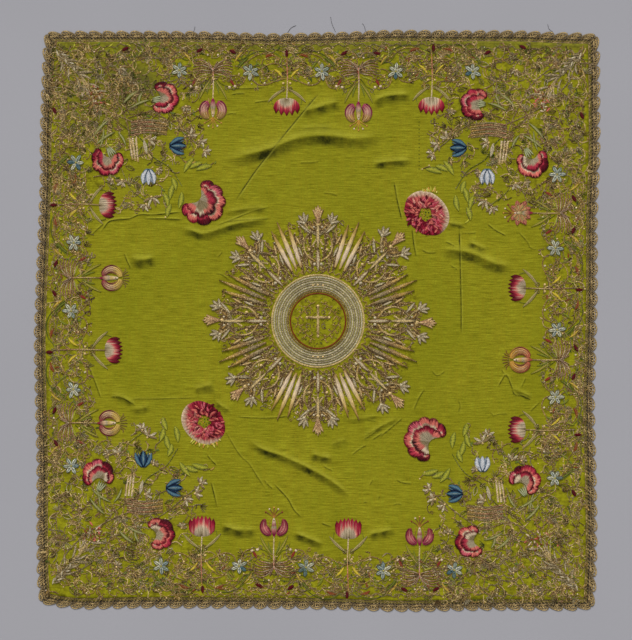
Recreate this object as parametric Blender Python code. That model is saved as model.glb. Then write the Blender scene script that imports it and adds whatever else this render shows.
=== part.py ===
"""A chalice veil: a nearly square silk cloth, embroidered, with a scalloped metal-thread lace edging.

It lies flat on a surface with its creases and puckers left in. X runs across the cloth, Y up it, +Z is up,
and the origin is the middle of its footprint on the surface. Tables are in millimetres, meshes in metres.
"""

import math
from bisect import bisect_right
from collections import namedtuple

import bmesh
import bpy
from mathutils import Vector
from mathutils.geometry import delaunay_2d_cdt

# Driving sizes, in millimetres.
SILK_THICKNESS = 1.2
LACE_THICKNESS = 1.0
LACE_WIDTH = 12.0
LACE_BAND = 7.5
CORNER_REACH = 0.8
LOBE_PHASES = (-0.5, -0.42, -0.25, 0.0, 0.25, 0.42)
GAP = 0.3
STATION = 19.0
GRID = 26.0
POINT_SPACING = 1.5
CURVE_STEPS = 24
RELIEF = 0.7
MEDALLION_RELIEF = 0.6
MM = 0.001
CENTRE = (0.90, -0.28)

# The seam between silk and lace, one row of points a side, clockwise from the upper left corner.
TOP_LEFT = (-276.0, 293.0)
TOP_RIGHT = (283.5, 291.0)
BOTTOM_RIGHT = (279.0, -292.0)
BOTTOM_LEFT = (-281.5, -286.5)
Side = namedtuple("Side", "name scallops seam")
SIDES = (
    Side("top", 40, (TOP_LEFT, (-249, 293), (-186, 293), (-123, 292.5), (-72, 291), (-35, 290.5), (28, 292),
                     (79, 294), (139, 293.5), (205, 293.5), (254, 291.5), TOP_RIGHT)),
    Side("right", 38, (TOP_RIGHT, (284, 232), (284, 174), (281.5, 106), (281.5, 43), (280.5, -20),
                       (278.5, -83), (280, -156), (281, -230), BOTTOM_RIGHT)),
    Side("bottom", 39, (BOTTOM_RIGHT, (254, -292.5), (191, -292), (128, -293), (86, -293.5), (65, -293),
                        (2, -291), (-61, -290.5), (-124, -290), (-197, -290), (-245, -291),
                        (-265, -289.5), BOTTOM_LEFT)),
    Side("left", 41, (BOTTOM_LEFT, (-283, -259), (-283.5, -209), (-283.5, -146), (-285, -83), (-286, -20),
                      (-285, 18), (-282.5, 81), (-280, 144), (-279.5, 207), TOP_LEFT)),
)

# The main folds. The cloth climbs steeply across `width` to `height`, on the left of the route as it runs,
# and comes down again over GENTLE times that width. Routes run from left to right.
Fold = namedtuple("Fold", "name width height route")
GENTLE = 2.4
FOLD_ROWS = (-0.5, -0.15, 0.2, 0.5, 0.5 + GENTLE / 3, 0.5 + GENTLE)
FOLDS = (
    Fold("upper_west", 6, 1.6, ((-18, 216), (2, 221.5), (25, 228))),
    Fold("upper_east", 6, 1.6, ((57, 226), (73, 233), (99, 235))),
    Fold("long_swag", 8, 2.4, ((-103, 163), (-76, 170), (-47, 177.5), (-19, 188), (7, 190.5), (37, 187),
                               (60, 190), (71, 201))),
    Fold("faint_upper", 4, 0.7, ((-19, 200), (-2, 201.5), (16, 201))),
    Fold("east_of_swag", 5, 1.5, ((55, 162), (78, 165), (101, 166))),
    Fold("under_west_bloom", 5, 1.6, ((-149, 96), (-132, 92), (-118, 89), (-87, 99), (-49, 104.5))),
    Fold("beside_west_bloom", 4, 0.8, ((-98, 112), (-75, 115.5), (-51, 117.5))),
    Fold("west_patch", 7, 1.6, ((-199, 62), (-184, 60.5), (-169, 64))),
    Fold("west_hook", 4, 1.0, ((-218, -79), (-207, -81), (-191, -90))),
    Fold("west_hook_lower", 4, 0.8, ((-198.5, -94), (-186.5, -94), (-175.5, -91))),
    Fold("above_lower_bloom", 6, 1.0, ((-130, -75), (-120, -72), (-108, -70))),
    Fold("beside_lower_bloom", 4, 1.0, ((-110, -85), (-102, -91), (-92, -97))),
    Fold("south_diagonal", 5, 1.5, ((-77, -123), (-68, -132), (-56, -138), (-41, -143), (-27, -149),
                                    (-10, -157), (14, -171), (35, -188))),
    Fold("south_middle", 5, 1.4, ((-9.5, -141), (4, -145), (16, -147))),
    Fold("south_east_a", 3.5, 0.9, ((47, -124), (69, -111), (88, -102))),
    Fold("south_east_b", 3.5, 0.7, ((26, -106), (44, -104), (65, -101))),
    Fold("south_east_c", 3.5, 0.7, ((14, -132), (23, -128), (31, -126.5))),
    Fold("low_east", 5, 1.3, ((52, -227), (66, -224), (81, -221))),
    Fold("low_west", 6, 1.4, ((-103, -217), (-84, -222.5), (-64, -222))),
    Fold("low_middle", 5, 1.4, ((-27, -224), (-12, -230), (5, -237))),
    Fold("east_small", 3.5, 1.0, ((203, -72), (214, -77), (225, -81.5))),
    Fold("east_long", 7, 2.1, ((128, 71), (150, 70), (164, 66), (181, 58), (206, 52))),
    Fold("east_short", 4.5, 1.4, ((156, 81.5), (166, 77), (177, 72))),
    Fold("east_upper", 4, 1.1, ((135, 101.5), (145, 100), (154, 98))),
)
FOLD_TAPER = 0.22
FOLD_STEP = 9.0

# The raised silk flower heads: centre, and half of their width and height.
Head = namedtuple("Head", "kind x y half_width half_height")
HEADS = tuple(Head("large carnation", x, y, 20, 22) for x, y in
              ((-117, 122), (113.5, 114), (-121, -107), (110, -122))) + \
    tuple(Head("small carnation", x, y, 14, 15) for x, y in
          ((-159, 234), (-221.5, 166), (163, 228), (226, 163.5), (219, -165), (158, -232),
           (-163.5, -223), (-230, -158.5))) + \
    tuple(Head("pink", x, y, 13, 11) for x, y in
          ((-33, 224.5), (119, 226), (209, 35), (208.5, -114), (32, -219.5), (-122, -217),
           (-214.5, -30.5), (-220.5, 122))) + \
    tuple(Head("iris", x, y, 13, 14) for x, y in
          ((-110, 219), (42.5, 216.5), (211, 113.5), (210.5, -41), (107, -221.5), (-46, -212),
           (-217, -107), (-215, 45)))
HEAD_SIDES = 9
HEAD_SHOULDER = 0.62

# The medallion in the middle: a wreath, and a glory of rays and lilies round it.
MEDALLION = (0.0, 0.0)
WREATH = (29.0, 32.0, 40.0, 43.0)
GLORY = (50.0, 58.0, 92.0)
GLORY_POINTS = 8
GLORY_TIP = 121.0
GLORY_VALLEY = 102.0
MEDALLION_SPOKES = 32


def through(points, place):
    """The point at a place, counted in table points, along a Catmull-Rom curve through the table."""
    i = min(int(place), len(points) - 2)
    t = place - i
    p1, p2 = Vector(points[i]), Vector(points[i + 1])
    p0 = Vector(points[i - 1]) if i > 0 else 2 * p1 - p2
    p3 = Vector(points[i + 2]) if i + 2 < len(points) else 2 * p2 - p1
    return 0.5 * (2 * p1 + (p2 - p0) * t + (2 * p0 - 5 * p1 + 4 * p2 - p3) * t * t
                  + (3 * p1 - p0 - 3 * p2 + p3) * t ** 3)


class Line:
    """A smooth curve through a table of points, read by its share of the curve's length."""

    def __init__(self, points):
        steps = CURVE_STEPS * (len(points) - 1)
        self.fine = [through(points, k / CURVE_STEPS) for k in range(steps + 1)]
        self.run = [0.0]
        for a, b in zip(self.fine, self.fine[1:]):
            self.run.append(self.run[-1] + (b - a).length)
        self.length = self.run[-1]

    def at(self, share):
        """The point at a share of the length, 0 to 1."""
        wanted = min(max(share, 0.0), 1.0) * self.length
        k = min(bisect_right(self.run, wanted), len(self.run) - 1)
        part = (wanted - self.run[k - 1]) / (self.run[k] - self.run[k - 1])
        return self.fine[k - 1].lerp(self.fine[k], min(part, 1.0))

    def shares(self, step):
        """Shares about `step` apart along the curve, both ends included."""
        count = max(2, round(self.length / step))
        return [n / count for n in range(count + 1)]


def smooth(x):
    """An S-curve from 0 at x = 0 to 1 at x = 1."""
    x = min(max(x, 0.0), 1.0)
    return x * x * (3 - 2 * x)


def outer_rail(side):
    """The side's seam points moved out by the lace's width: the line that its scallops touch."""
    seam = [Vector(p) for p in side.seam]
    along = (seam[-1] - seam[0]).normalized()
    outward = Vector((-along.y, along.x))
    rail = [p + outward * LACE_WIDTH for p in seam]
    rail[0] -= along * LACE_WIDTH
    rail[-1] += along * LACE_WIDTH
    return Line(rail)


def prism(name, ring, thickness):
    """A flat piece of even thickness with the given outline, standing on the surface."""
    bm = bmesh.new()
    low = [bm.verts.new((x * MM, y * MM, 0.0)) for x, y in ring]
    face = bm.faces.new(low)
    top = bmesh.ops.extrude_face_region(bm, geom=[face])["geom"]
    lifted = [v for v in top if isinstance(v, bmesh.types.BMVert)]
    bmesh.ops.translate(bm, verts=lifted, vec=(0, 0, thickness * MM))
    bmesh.ops.triangulate(bm, faces=[f for f in bm.faces if len(f.verts) > 4])
    return add_object(name, bm)


def add_object(name, bm):
    """Turns a bmesh into a named object, with its faces pointing out."""
    bmesh.ops.recalc_face_normals(bm, faces=bm.faces)
    mesh = bpy.data.meshes.new(name)
    bm.to_mesh(mesh)
    bm.free()
    obj = bpy.data.objects.new(name, mesh)
    bpy.context.scene.collection.objects.link(obj)
    return obj


def material(name, colour, roughness, metallic):
    made = bpy.data.materials.new(name)
    made.use_nodes = True
    shader = made.node_tree.nodes["Principled BSDF"]
    shader.inputs["Base Color"].default_value = (*colour, 1.0)
    shader.inputs["Roughness"].default_value = roughness
    shader.inputs["Metallic"].default_value = metallic
    return made


def lace_length(side, finish):
    """One length of the bobbin lace: a straight footside along the seam and a row of scallops outside it."""
    seam, rail = Line(side.seam), outer_rail(side)
    clear = GAP / seam.length

    def place(share, across):
        share = min(max(share, clear), 1 - clear)
        return seam.at(share).lerp(rail.at(share), across)

    band = LACE_BAND / LACE_WIDTH
    outer = []
    for lobe in range(side.scallops + 1):
        for phase in LOBE_PHASES:
            share = (lobe + phase) / side.scallops
            if 0 <= share <= 1:
                tip = CORNER_REACH if lobe in (0, side.scallops) else 1.0
                outer.append(place(share, band + (tip - band) * math.cos(math.pi * phase) ** 0.5))
    inner = [place(share, GAP / LACE_WIDTH) for share in seam.shares(STATION)]
    piece = prism(f"lace_{side.name}", [centred(p) for p in inner + outer[::-1]], LACE_THICKNESS)
    piece.data.materials.append(finish)


def centred(point):
    """Moves a point of the tables so that the finished veil is centred on the origin."""
    return point[0] + CENTRE[0], point[1] + CENTRE[1]


def fold_lines():
    """Each fold as its row and the points of its curve, with their distance along it as a share."""
    lines = []
    for fold in FOLDS:
        line = Line(fold.route)
        lines.append((fold, [line.at(share) for share in line.shares(4.0)]))
    return lines


def fold_height(point, lines):
    """How far the folds lift the cloth off the surface at a point."""
    lift = 0.0
    for fold, line in lines:
        reach = fold.width * (0.5 + GENTLE)
        best = None
        for k, (a, b) in enumerate(zip(line, line[1:])):
            run = b - a
            t = min(max((point - a).dot(run) / run.length_squared, 0.0), 1.0)
            away = point - a.lerp(b, t)
            if best is None or away.length < best[0]:
                left = run.x * away.y - run.y * away.x
                best = (away.length, math.copysign(1.0, left), (k + t) / (len(line) - 1))
        distance, sign, share = best
        if distance > reach:
            continue
        across = distance * sign / fold.width
        rise = smooth(across + 0.5) if across < 0.5 else 1 - smooth((across - 0.5) / GENTLE)
        ends = smooth(share / FOLD_TAPER) * smooth((1 - share) / FOLD_TAPER)
        lift = max(lift, fold.height * rise * ends)
    return lift


def relief(point):
    """How far the raised embroidery stands on the cloth at a point: flower heads, wreath and glory."""
    for head in HEADS:
        r = math.hypot((point[0] - head.x) / head.half_width, (point[1] - head.y) / head.half_height)
        if r < 1:
            return RELIEF * smooth((1 - r) / (1 - HEAD_SHOULDER))
    dx, dy = point[0] - MEDALLION[0], point[1] - MEDALLION[1]
    r, angle = math.hypot(dx, dy), math.atan2(dy, dx)
    if WREATH[0] < r < WREATH[3]:
        return MEDALLION_RELIEF * min(smooth((r - WREATH[0]) / 3), smooth((WREATH[3] - r) / 3))
    edge = glory_edge(angle)
    if GLORY[0] < r < edge:
        return MEDALLION_RELIEF * min(smooth((r - GLORY[0]) / 8), smooth((edge - r) / 12))
    return 0.0


def glory_edge(angle):
    """The glory's outer radius: a lily at each of its points, with shorter rays between."""
    peak = 0.5 + 0.5 * math.cos(GLORY_POINTS * angle)
    return GLORY_VALLEY + (GLORY_TIP - GLORY_VALLEY) * peak ** 2


def fold_points():
    """Rows of points along the foot, crest and back of each fold."""
    points = []
    for fold in FOLDS:
        line = Line(fold.route)
        for share in line.shares(FOLD_STEP):
            ahead = line.at(share + 0.02) - line.at(share - 0.02)
            left = Vector((-ahead.y, ahead.x)).normalized()
            points += [line.at(share) + left * fold.width * row for row in FOLD_ROWS]
    return points


def relief_points():
    """Rings of points round each raised flower head, and spokes of them over the medallion."""
    points = []
    for head in HEADS:
        points.append(Vector((head.x, head.y)))
        for size in (HEAD_SHOULDER, 1.0):
            for k in range(HEAD_SIDES):
                turn = 2 * math.pi * (k + size / 2) / HEAD_SIDES
                points.append(Vector((head.x + math.cos(turn) * head.half_width * size,
                                      head.y + math.sin(turn) * head.half_height * size)))
    for k in range(MEDALLION_SPOKES):
        turn = 2 * math.pi * k / MEDALLION_SPOKES
        edge = glory_edge(turn)
        for r in (*WREATH, *GLORY, edge - 12, edge):
            points.append(Vector((MEDALLION[0] + r * math.cos(turn), MEDALLION[1] + r * math.sin(turn))))
    return points


def grid_points(outline):
    """Points on an even grid, clear of the cloth's edge."""
    xs, ys = [p.x for p in outline], [p.y for p in outline]
    columns = round((max(xs) - min(xs)) / GRID)
    rows = round((max(ys) - min(ys)) / GRID)
    return [Vector((min(xs) + (max(xs) - min(xs)) * i / columns, min(ys) + (max(ys) - min(ys)) * j / rows))
            for i in range(1, columns) for j in range(1, rows)]


def spread(points, outline):
    """The points in their order of importance, without those that crowd an earlier one or the outline."""
    kept, cells = [], {}
    for fixed, group in ((True, outline), (False, points)):
        for p in group:
            cell = (int(p.x // POINT_SPACING), int(p.y // POINT_SPACING))
            around = [(cell[0] + i, cell[1] + j) for i in (-1, 0, 1) for j in (-1, 0, 1)]
            near = [q for key in around for q in cells.get(key, ())]
            if fixed or all((p - q).length >= POINT_SPACING for q in near):
                cells.setdefault(cell, []).append(p)
                if not fixed:
                    kept.append(p)
    return kept


def sheet_face(outline, inside):
    """Triangles over the outline and the points inside it, as places and index triples, outline first."""
    count = len(outline)
    edges = [(i, (i + 1) % count) for i in range(count)]
    places, _, faces, _, _, _ = delaunay_2d_cdt(outline + inside, edges, [], 1, 1e-6)
    return places, faces


def silk_cloth(finish):
    """The embroidered silk: one thin sheet whose two faces both follow its folds."""
    outline = []
    for side in SIDES:
        seam = Line(side.seam)
        outline += [seam.at(share) for share in seam.shares(STATION)[:-1]]
    lines, folds, grid = fold_lines(), fold_points(), grid_points(outline)
    under = spread(folds + grid, outline)
    upper = spread(folds + relief_points() + grid, outline)
    bm = bmesh.new()
    rims = []
    for points, raised in ((under, False), (upper, True)):
        places, faces = sheet_face(outline, points)
        verts = []
        for p in places:
            z = fold_height(p, lines)
            if raised:
                z += SILK_THICKNESS + relief(p)
            x, y = centred(p)
            verts.append(bm.verts.new((x * MM, y * MM, z * MM)))
        for face in faces:
            bm.faces.new([verts[i] for i in face])
        rims.append(verts[:len(outline)])
    lower_rim, upper_rim = rims
    for i in range(len(outline)):
        j = (i + 1) % len(outline)
        bm.faces.new((lower_rim[i], lower_rim[j], upper_rim[j], upper_rim[i]))
    cloth = add_object("silk", bm)
    cloth.data.shade_smooth()
    cloth.data.set_sharp_from_angle(angle=math.radians(40))
    cloth.data.materials.append(finish)


def main():
    for obj in list(bpy.data.objects):
        bpy.data.objects.remove(obj)
    silk = material("green_silk", (0.24, 0.24, 0.02), 0.5, 0.0)
    gilt = material("tarnished_gilt_lace", (0.22, 0.16, 0.09), 0.45, 0.6)
    silk_cloth(silk)
    for side in SIDES:
        lace_length(side, gilt)


main()
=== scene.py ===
"""The looks of the chalice veil: green silk, embroidery in silks and metal threads, and a metal lace edging.

Places are given on a chart of the veil seen from above, 632 wide and 640 high, x to the right and y down,
at 1.05 mm to a chart unit. Turns on it are in degrees, clockwise from the right. Lifts, how far the work
stands on the cloth, are in millimetres.
"""

import math
from collections import namedtuple

import bpy
import numpy as np
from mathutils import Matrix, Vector
from mathutils.geometry import delaunay_2d_cdt


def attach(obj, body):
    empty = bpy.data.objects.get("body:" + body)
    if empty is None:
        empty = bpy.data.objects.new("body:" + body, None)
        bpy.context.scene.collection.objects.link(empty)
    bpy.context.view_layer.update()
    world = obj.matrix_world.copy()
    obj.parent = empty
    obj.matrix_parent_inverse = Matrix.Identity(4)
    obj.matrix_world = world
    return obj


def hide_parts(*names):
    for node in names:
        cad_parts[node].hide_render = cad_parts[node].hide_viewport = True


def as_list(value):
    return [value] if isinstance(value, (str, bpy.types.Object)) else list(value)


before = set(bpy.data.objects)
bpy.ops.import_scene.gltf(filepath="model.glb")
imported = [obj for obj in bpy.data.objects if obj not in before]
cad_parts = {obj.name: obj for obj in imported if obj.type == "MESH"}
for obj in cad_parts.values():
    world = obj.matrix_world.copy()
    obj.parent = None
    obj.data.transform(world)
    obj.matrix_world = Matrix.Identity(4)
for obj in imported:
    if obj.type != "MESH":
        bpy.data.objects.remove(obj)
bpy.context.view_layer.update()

MM = 0.001
CHART = 1.05  # millimetres to a chart unit
CHART_CENTRE = (317.14, 320.73)
MEDALLION = (318, 321)
SHIFT = np.array((0.90, -0.28))  # centres the seam and the folds on the origin, as in the solids
SILK_THICKNESS = 1.2
SINK = -0.35  # the lift of a shape's edges, just under the cloth's face
grain_dice = np.random.default_rng(7)  # gives each thread its own place in the grain


def chart(places):
    """Chart places as millimetres from the veil's middle, y up."""
    return (np.asarray(places, float) - CHART_CENTRE) * (CHART, -CHART)


def rgb(r, g, b):
    """A colour as it looks, 0 to 255, as light."""
    c = np.array((r, g, b)) / 255
    return np.where(c < 0.04045, c / 12.92, ((c + 0.055) / 1.055) ** 2.4)


def smooth(x):
    """An S-curve from 0 at x = 0 to 1 at x = 1."""
    x = np.clip(x, 0.0, 1.0)
    return x * x * (3 - 2 * x)


def ray(angle):
    """The unit vectors at these angles, in radians."""
    return np.stack([np.cos(angle), np.sin(angle)], -1)


def left_of(line):
    """The unit vectors to the left of a line, at each of its points."""
    ahead = np.gradient(line, axis=0)
    ahead /= np.maximum(np.hypot(*ahead.T), 1e-9)[:, None]
    return np.stack([-ahead[:, 1], ahead[:, 0]], -1)


def pick(dice, table):
    """One row of a table, drawn with the dice."""
    return table[dice.integers(len(table))]


def curve(points, count):
    """`count` points evenly along a smooth curve through the given points."""
    p = np.asarray(points, float)
    p = np.vstack([2 * p[0] - p[1], p, 2 * p[-1] - p[-2]])
    t = np.linspace(0, 1, 16, endpoint=False)[:, None]
    runs = [0.5 * (2 * b + (c - a) * t + (2 * a - 5 * b + 4 * c - d) * t ** 2 + (3 * b - a - 3 * c + d) * t ** 3)
            for a, b, c, d in zip(p, p[1:], p[2:], p[3:])]
    fine = np.vstack(runs + [p[-2:-1]])
    run = np.concatenate([[0], np.cumsum(np.hypot(*np.diff(fine, axis=0).T))])
    wanted = np.linspace(0, run[-1], count)
    return np.stack([np.interp(wanted, run, fine[:, 0]), np.interp(wanted, run, fine[:, 1])], -1)


def length_of(points):
    """The length of the smooth curve through the given points."""
    return float(np.hypot(*np.diff(curve(points, 64), axis=0).T).sum())


# The seam between silk and lace in millimetres, clockwise from the upper left corner, as in the solids.
TOP_LEFT = (-276.0, 293.0)
TOP_RIGHT = (283.5, 291.0)
BOTTOM_RIGHT = (279.0, -292.0)
BOTTOM_LEFT = (-281.5, -286.5)
LACE_WIDTH = 12.0
LACE_BAND = 7.5
Side = namedtuple("Side", "name scallops seam")
SIDES = (
    Side("top", 40, (TOP_LEFT, (-249, 293), (-186, 293), (-123, 292.5), (-72, 291), (-35, 290.5), (28, 292),
                     (79, 294), (139, 293.5), (205, 293.5), (254, 291.5), TOP_RIGHT)),
    Side("right", 38, (TOP_RIGHT, (284, 232), (284, 174), (281.5, 106), (281.5, 43), (280.5, -20),
                       (278.5, -83), (280, -156), (281, -230), BOTTOM_RIGHT)),
    Side("bottom", 39, (BOTTOM_RIGHT, (254, -292.5), (191, -292), (128, -293), (86, -293.5), (65, -293),
                        (2, -291), (-61, -290.5), (-124, -290), (-197, -290), (-245, -291),
                        (-265, -289.5), BOTTOM_LEFT)),
    Side("left", 41, (BOTTOM_LEFT, (-283, -259), (-283.5, -209), (-283.5, -146), (-285, -83), (-286, -20),
                      (-285, 18), (-282.5, 81), (-280, 144), (-279.5, 207), TOP_LEFT)),
)

# The main folds, in millimetres, as in the solids: steep across `width`, then gentle on the left of the route.
Fold = namedtuple("Fold", "width height route")
GENTLE = 2.4
FOLD_TAPER = 0.22
FOLDS = [Fold(*row) for row in (
    (6, 1.6, ((-18, 216), (2, 221.5), (25, 228))),
    (6, 1.6, ((57, 226), (73, 233), (99, 235))),
    (8, 2.4, ((-103, 163), (-76, 170), (-47, 177.5), (-19, 188), (7, 190.5), (37, 187), (60, 190), (71, 201))),
    (4, 0.7, ((-19, 200), (-2, 201.5), (16, 201))),
    (5, 1.5, ((55, 162), (78, 165), (101, 166))),
    (5, 1.6, ((-149, 96), (-132, 92), (-118, 89), (-87, 99), (-49, 104.5))),
    (4, 0.8, ((-98, 112), (-75, 115.5), (-51, 117.5))),
    (7, 1.6, ((-199, 62), (-184, 60.5), (-169, 64))),
    (4, 1.0, ((-218, -79), (-207, -81), (-191, -90))),
    (4, 0.8, ((-198.5, -94), (-186.5, -94), (-175.5, -91))),
    (6, 1.0, ((-130, -75), (-120, -72), (-108, -70))),
    (4, 1.0, ((-110, -85), (-102, -91), (-92, -97))),
    (5, 1.5, ((-77, -123), (-68, -132), (-56, -138), (-41, -143), (-27, -149), (-10, -157), (14, -171),
              (35, -188))),
    (5, 1.4, ((-9.5, -141), (4, -145), (16, -147))),
    (3.5, 0.9, ((47, -124), (69, -111), (88, -102))),
    (3.5, 0.7, ((26, -106), (44, -104), (65, -101))),
    (3.5, 0.7, ((14, -132), (23, -128), (31, -126.5))),
    (5, 1.3, ((52, -227), (66, -224), (81, -221))),
    (6, 1.4, ((-103, -217), (-84, -222.5), (-64, -222))),
    (5, 1.4, ((-27, -224), (-12, -230), (5, -237))),
    (3.5, 1.0, ((203, -72), (214, -77), (225, -81.5))),
    (7, 2.1, ((128, 71), (150, 70), (164, 66), (181, 58), (206, 52))),
    (4.5, 1.4, ((156, 81.5), (166, 77), (177, 72))),
    (4, 1.1, ((135, 101.5), (145, 100), (154, 98))),
)]

# Sharp creases on the chart: half width and height in millimetres, how much painted shade and highlight they
# get, and the route.
Crease = namedtuple("Crease", "width height dark route")
CREASES = [Crease(*row) for row in (
    (1.0, 0.45, 1.2, ((321, 91), (299, 117), (273, 149), (257, 169), (246, 185), (236, 200), (235, 204))),
    (0.9, 0.3, 0.7, ((394, 182), (397, 200), (402, 221))),
    (0.8, 0.3, 0.7, ((412, 229), (413.5, 243), (416, 257))),
    (1.4, 0.4, 0.8, ((459, 224), (460, 262), (461, 305), (461, 336))),
    (1.1, 0.4, 0.7, ((100, 234), (105, 227), (111, 221), (129, 219), (140, 215), (154, 215), (184, 212))),
    (0.9, 0.35, 0.8, ((144, 219), (162, 219), (183, 220))),
    (0.9, 0.3, 0.6, ((124, 253), (127, 261), (131, 269))),
    (0.8, 0.25, 0.45, ((130, 399), (160, 399), (197, 398))),
    (0.8, 0.25, 0.45, ((225, 431), (239, 454), (249, 464), (258, 478), (266, 490))),
    (1.0, 0.35, 0.6, ((264, 480), (268, 485), (273, 489))),
    (1.0, 0.35, 0.6, ((273, 483), (287, 498), (294, 510), (302, 518))),
    (0.8, 0.3, 0.6, ((211, 482), (214, 494), (217, 507))),
    (0.9, 0.3, 0.6, ((207, 455), (212, 461), (217, 466))),
    (0.8, 0.3, 0.5, ((363, 440), (370, 436), (377, 431))),
    (0.9, 0.3, 0.6, ((88, 365), (95, 382), (101, 399))),
    (0.9, 0.3, 0.6, ((487, 224), (496, 231), (506, 236))),
    (1.2, 0.4, 0.7, ((110, 397), (122, 398), (136, 406))),
    (1.0, 0.35, 0.6, ((414, 410), (419, 398), (425, 389))),
    (1.0, 0.35, 0.6, ((498, 387), (502, 380), (506, 375), (510, 383), (513, 391))),
    (1.0, 0.35, 0.6, ((254, 103), (261, 102), (269, 101))),
    (0.9, 0.3, 0.6, ((231, 95), (238, 94), (246, 94))),
    (1.0, 0.35, 0.6, ((228, 89), (246, 89), (266, 88))),
    (1.0, 0.35, 0.6, ((226, 115), (231, 114), (237, 114))),
    (1.2, 0.35, 0.4, ((323, 193), (330, 194), (338, 196))),
    (1.0, 0.3, 0.4, ((300, 163), (310, 163), (319, 162))),
    (0.9, 0.3, 0.5, ((236, 417), (255, 418), (273, 418), (290, 416))),
    (1.2, 0.4, 0.6, ((380, 437), (391, 428), (403, 418))),
    (0.9, 0.3, 0.5, ((448, 224), (457, 226), (466, 228))),
    (0.9, 0.3, 0.5, ((226, 222), (246, 220), (271, 219))),
    (0.9, 0.3, 0.5, ((216, 226), (232, 220), (252, 212), (271, 207))),
    (1.1, 0.3, 0.6, ((372, 440), (377, 437), (383, 433))),
    (0.8, 0.3, 0.45, ((352, 455), (360, 449), (367, 445))),
    (0.8, 0.25, 0.45, ((369, 486), (371, 483), (373, 480))),
    (0.8, 0.25, 0.4, ((377, 501), (379, 498), (380, 495))),
    (1.2, 0.35, 0.55, ((396, 480), (403, 483), (412, 484))),
    (0.8, 0.25, 0.35, ((393, 505), (398, 504), (403, 505))),
    (1.1, 0.3, 0.6, ((321, 523), (326, 525), (332, 527))),
    (0.9, 0.3, 0.45, ((323, 466), (328, 469), (333, 471))),
    (0.9, 0.3, 0.45, ((363, 502), (368, 502.5))),
    (0.8, 0.25, 0.4, ((367, 420), (372, 421), (377, 421))),
    (0.9, 0.3, 0.45, ((461, 233), (469, 233.5), (477, 233))),
    (1.2, 0.35, 0.55, ((445, 242), (450, 244), (455, 247))),
    (0.9, 0.3, 0.45, ((421, 250), (428, 253), (436, 253))),
    (0.8, 0.25, 0.4, ((450, 265), (454, 268), (458, 270))),
    (0.8, 0.25, 0.4, ((518, 232), (527, 242), (530, 248), (537, 250))),
    (1.2, 0.35, 0.75, ((512, 390), (515, 395), (522, 396), (531, 400))),
    (0.8, 0.25, 0.4, ((521, 388), (524, 382), (526, 377))),
    (0.8, 0.25, 0.4, ((501, 369), (504, 374), (508, 378))),
    (0.8, 0.25, 0.4, ((431, 370), (436, 375.5), (441, 374.5), (445, 371))),
    (0.8, 0.25, 0.4, ((489, 412), (494, 415.5), (500, 414), (508, 414))),
    (0.9, 0.3, 0.5, ((530, 412), (535, 407), (540, 402))),
    (0.8, 0.25, 0.35, ((458, 400), (460, 406), (458, 413))),
    (0.8, 0.25, 0.4, ((216, 274), (222, 275), (229, 280))),
    (0.8, 0.25, 0.35, ((217, 258), (220, 255), (223, 252))),
    (0.9, 0.3, 0.45, ((91, 236), (98, 229), (104, 224))),
)]


def near_line(points, line):
    """Each point's distance from a line, its side of it (1 on the left) and how far along it is, 0 to 1."""
    a, run = line[:-1], np.diff(line, axis=0)
    rel = points[:, None] - a
    t = np.clip((rel * run).sum(-1) / (run * run).sum(-1), 0, 1)
    away = rel - t[..., None] * run
    far = np.hypot(away[..., 0], away[..., 1])
    k, row = far.argmin(1), np.arange(len(points))
    side = run[k, 0] * away[row, k, 1] - run[k, 1] * away[row, k, 0]
    return far[row, k], np.where(side < 0, -1.0, 1.0), (k + t[row, k]) / len(run)


def near_box(points, line, reach):
    """The indices of the points within reach of the box round a line."""
    low, high = line.min(0) - reach, line.max(0) + reach
    return np.flatnonzero(((points > low) & (points < high)).all(1))


def waves(points, count, short, long, seed):
    """A gentle uneven ripple between -1 and 1, from plane waves of these lengths in millimetres."""
    dice = np.random.default_rng(seed)
    total = np.zeros(len(points))
    for _ in range(count):
        turn, phase, size = dice.uniform(0, math.pi), dice.uniform(0, 2 * math.pi), dice.uniform(short, long)
        along = points @ np.array((math.cos(turn), math.sin(turn)))
        total += np.sin(2 * math.pi * along / size + phase)
    return total / (0.9 * count ** 0.5) / 2


HALF_CLOTH = (283, 291)
BORDER, CORNER, GLORY = 52, 232, 112  # how far the worked parts reach, in millimetres
CREASE_TAPER = 0.12
STEEP_HEIGHT = 1.4  # folds this high are shaded in full


def worked(points):
    """How densely embroidered the cloth is at each point: 1 in the border, the corners and the medallion."""
    edges = HALF_CLOTH - np.abs(points)
    ring = np.hypot(*(points - chart(MEDALLION)).T)
    return np.maximum.reduce([smooth((BORDER - edges.min(1)) / 14), smooth((CORNER - edges.sum(1)) / 30),
                              smooth((GLORY - ring) / 10)])


FOLD_LINES = [(f, curve(f.route, max(3, round(length_of(f.route) / 4))) + SHIFT) for f in FOLDS]
CREASE_LINES = [(c, curve(chart(c.route), max(3, round(length_of(c.route) / 2)))) for c in CREASES]


def tapered(share, taper):
    """1 along a line, falling to 0 towards both of its ends."""
    return smooth(share / taper) * smooth((1 - share) / taper)


def bell(x, middle, width):
    """A bell curve, 1 at its middle."""
    return np.exp(-((x - middle) / width) ** 2)


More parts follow.
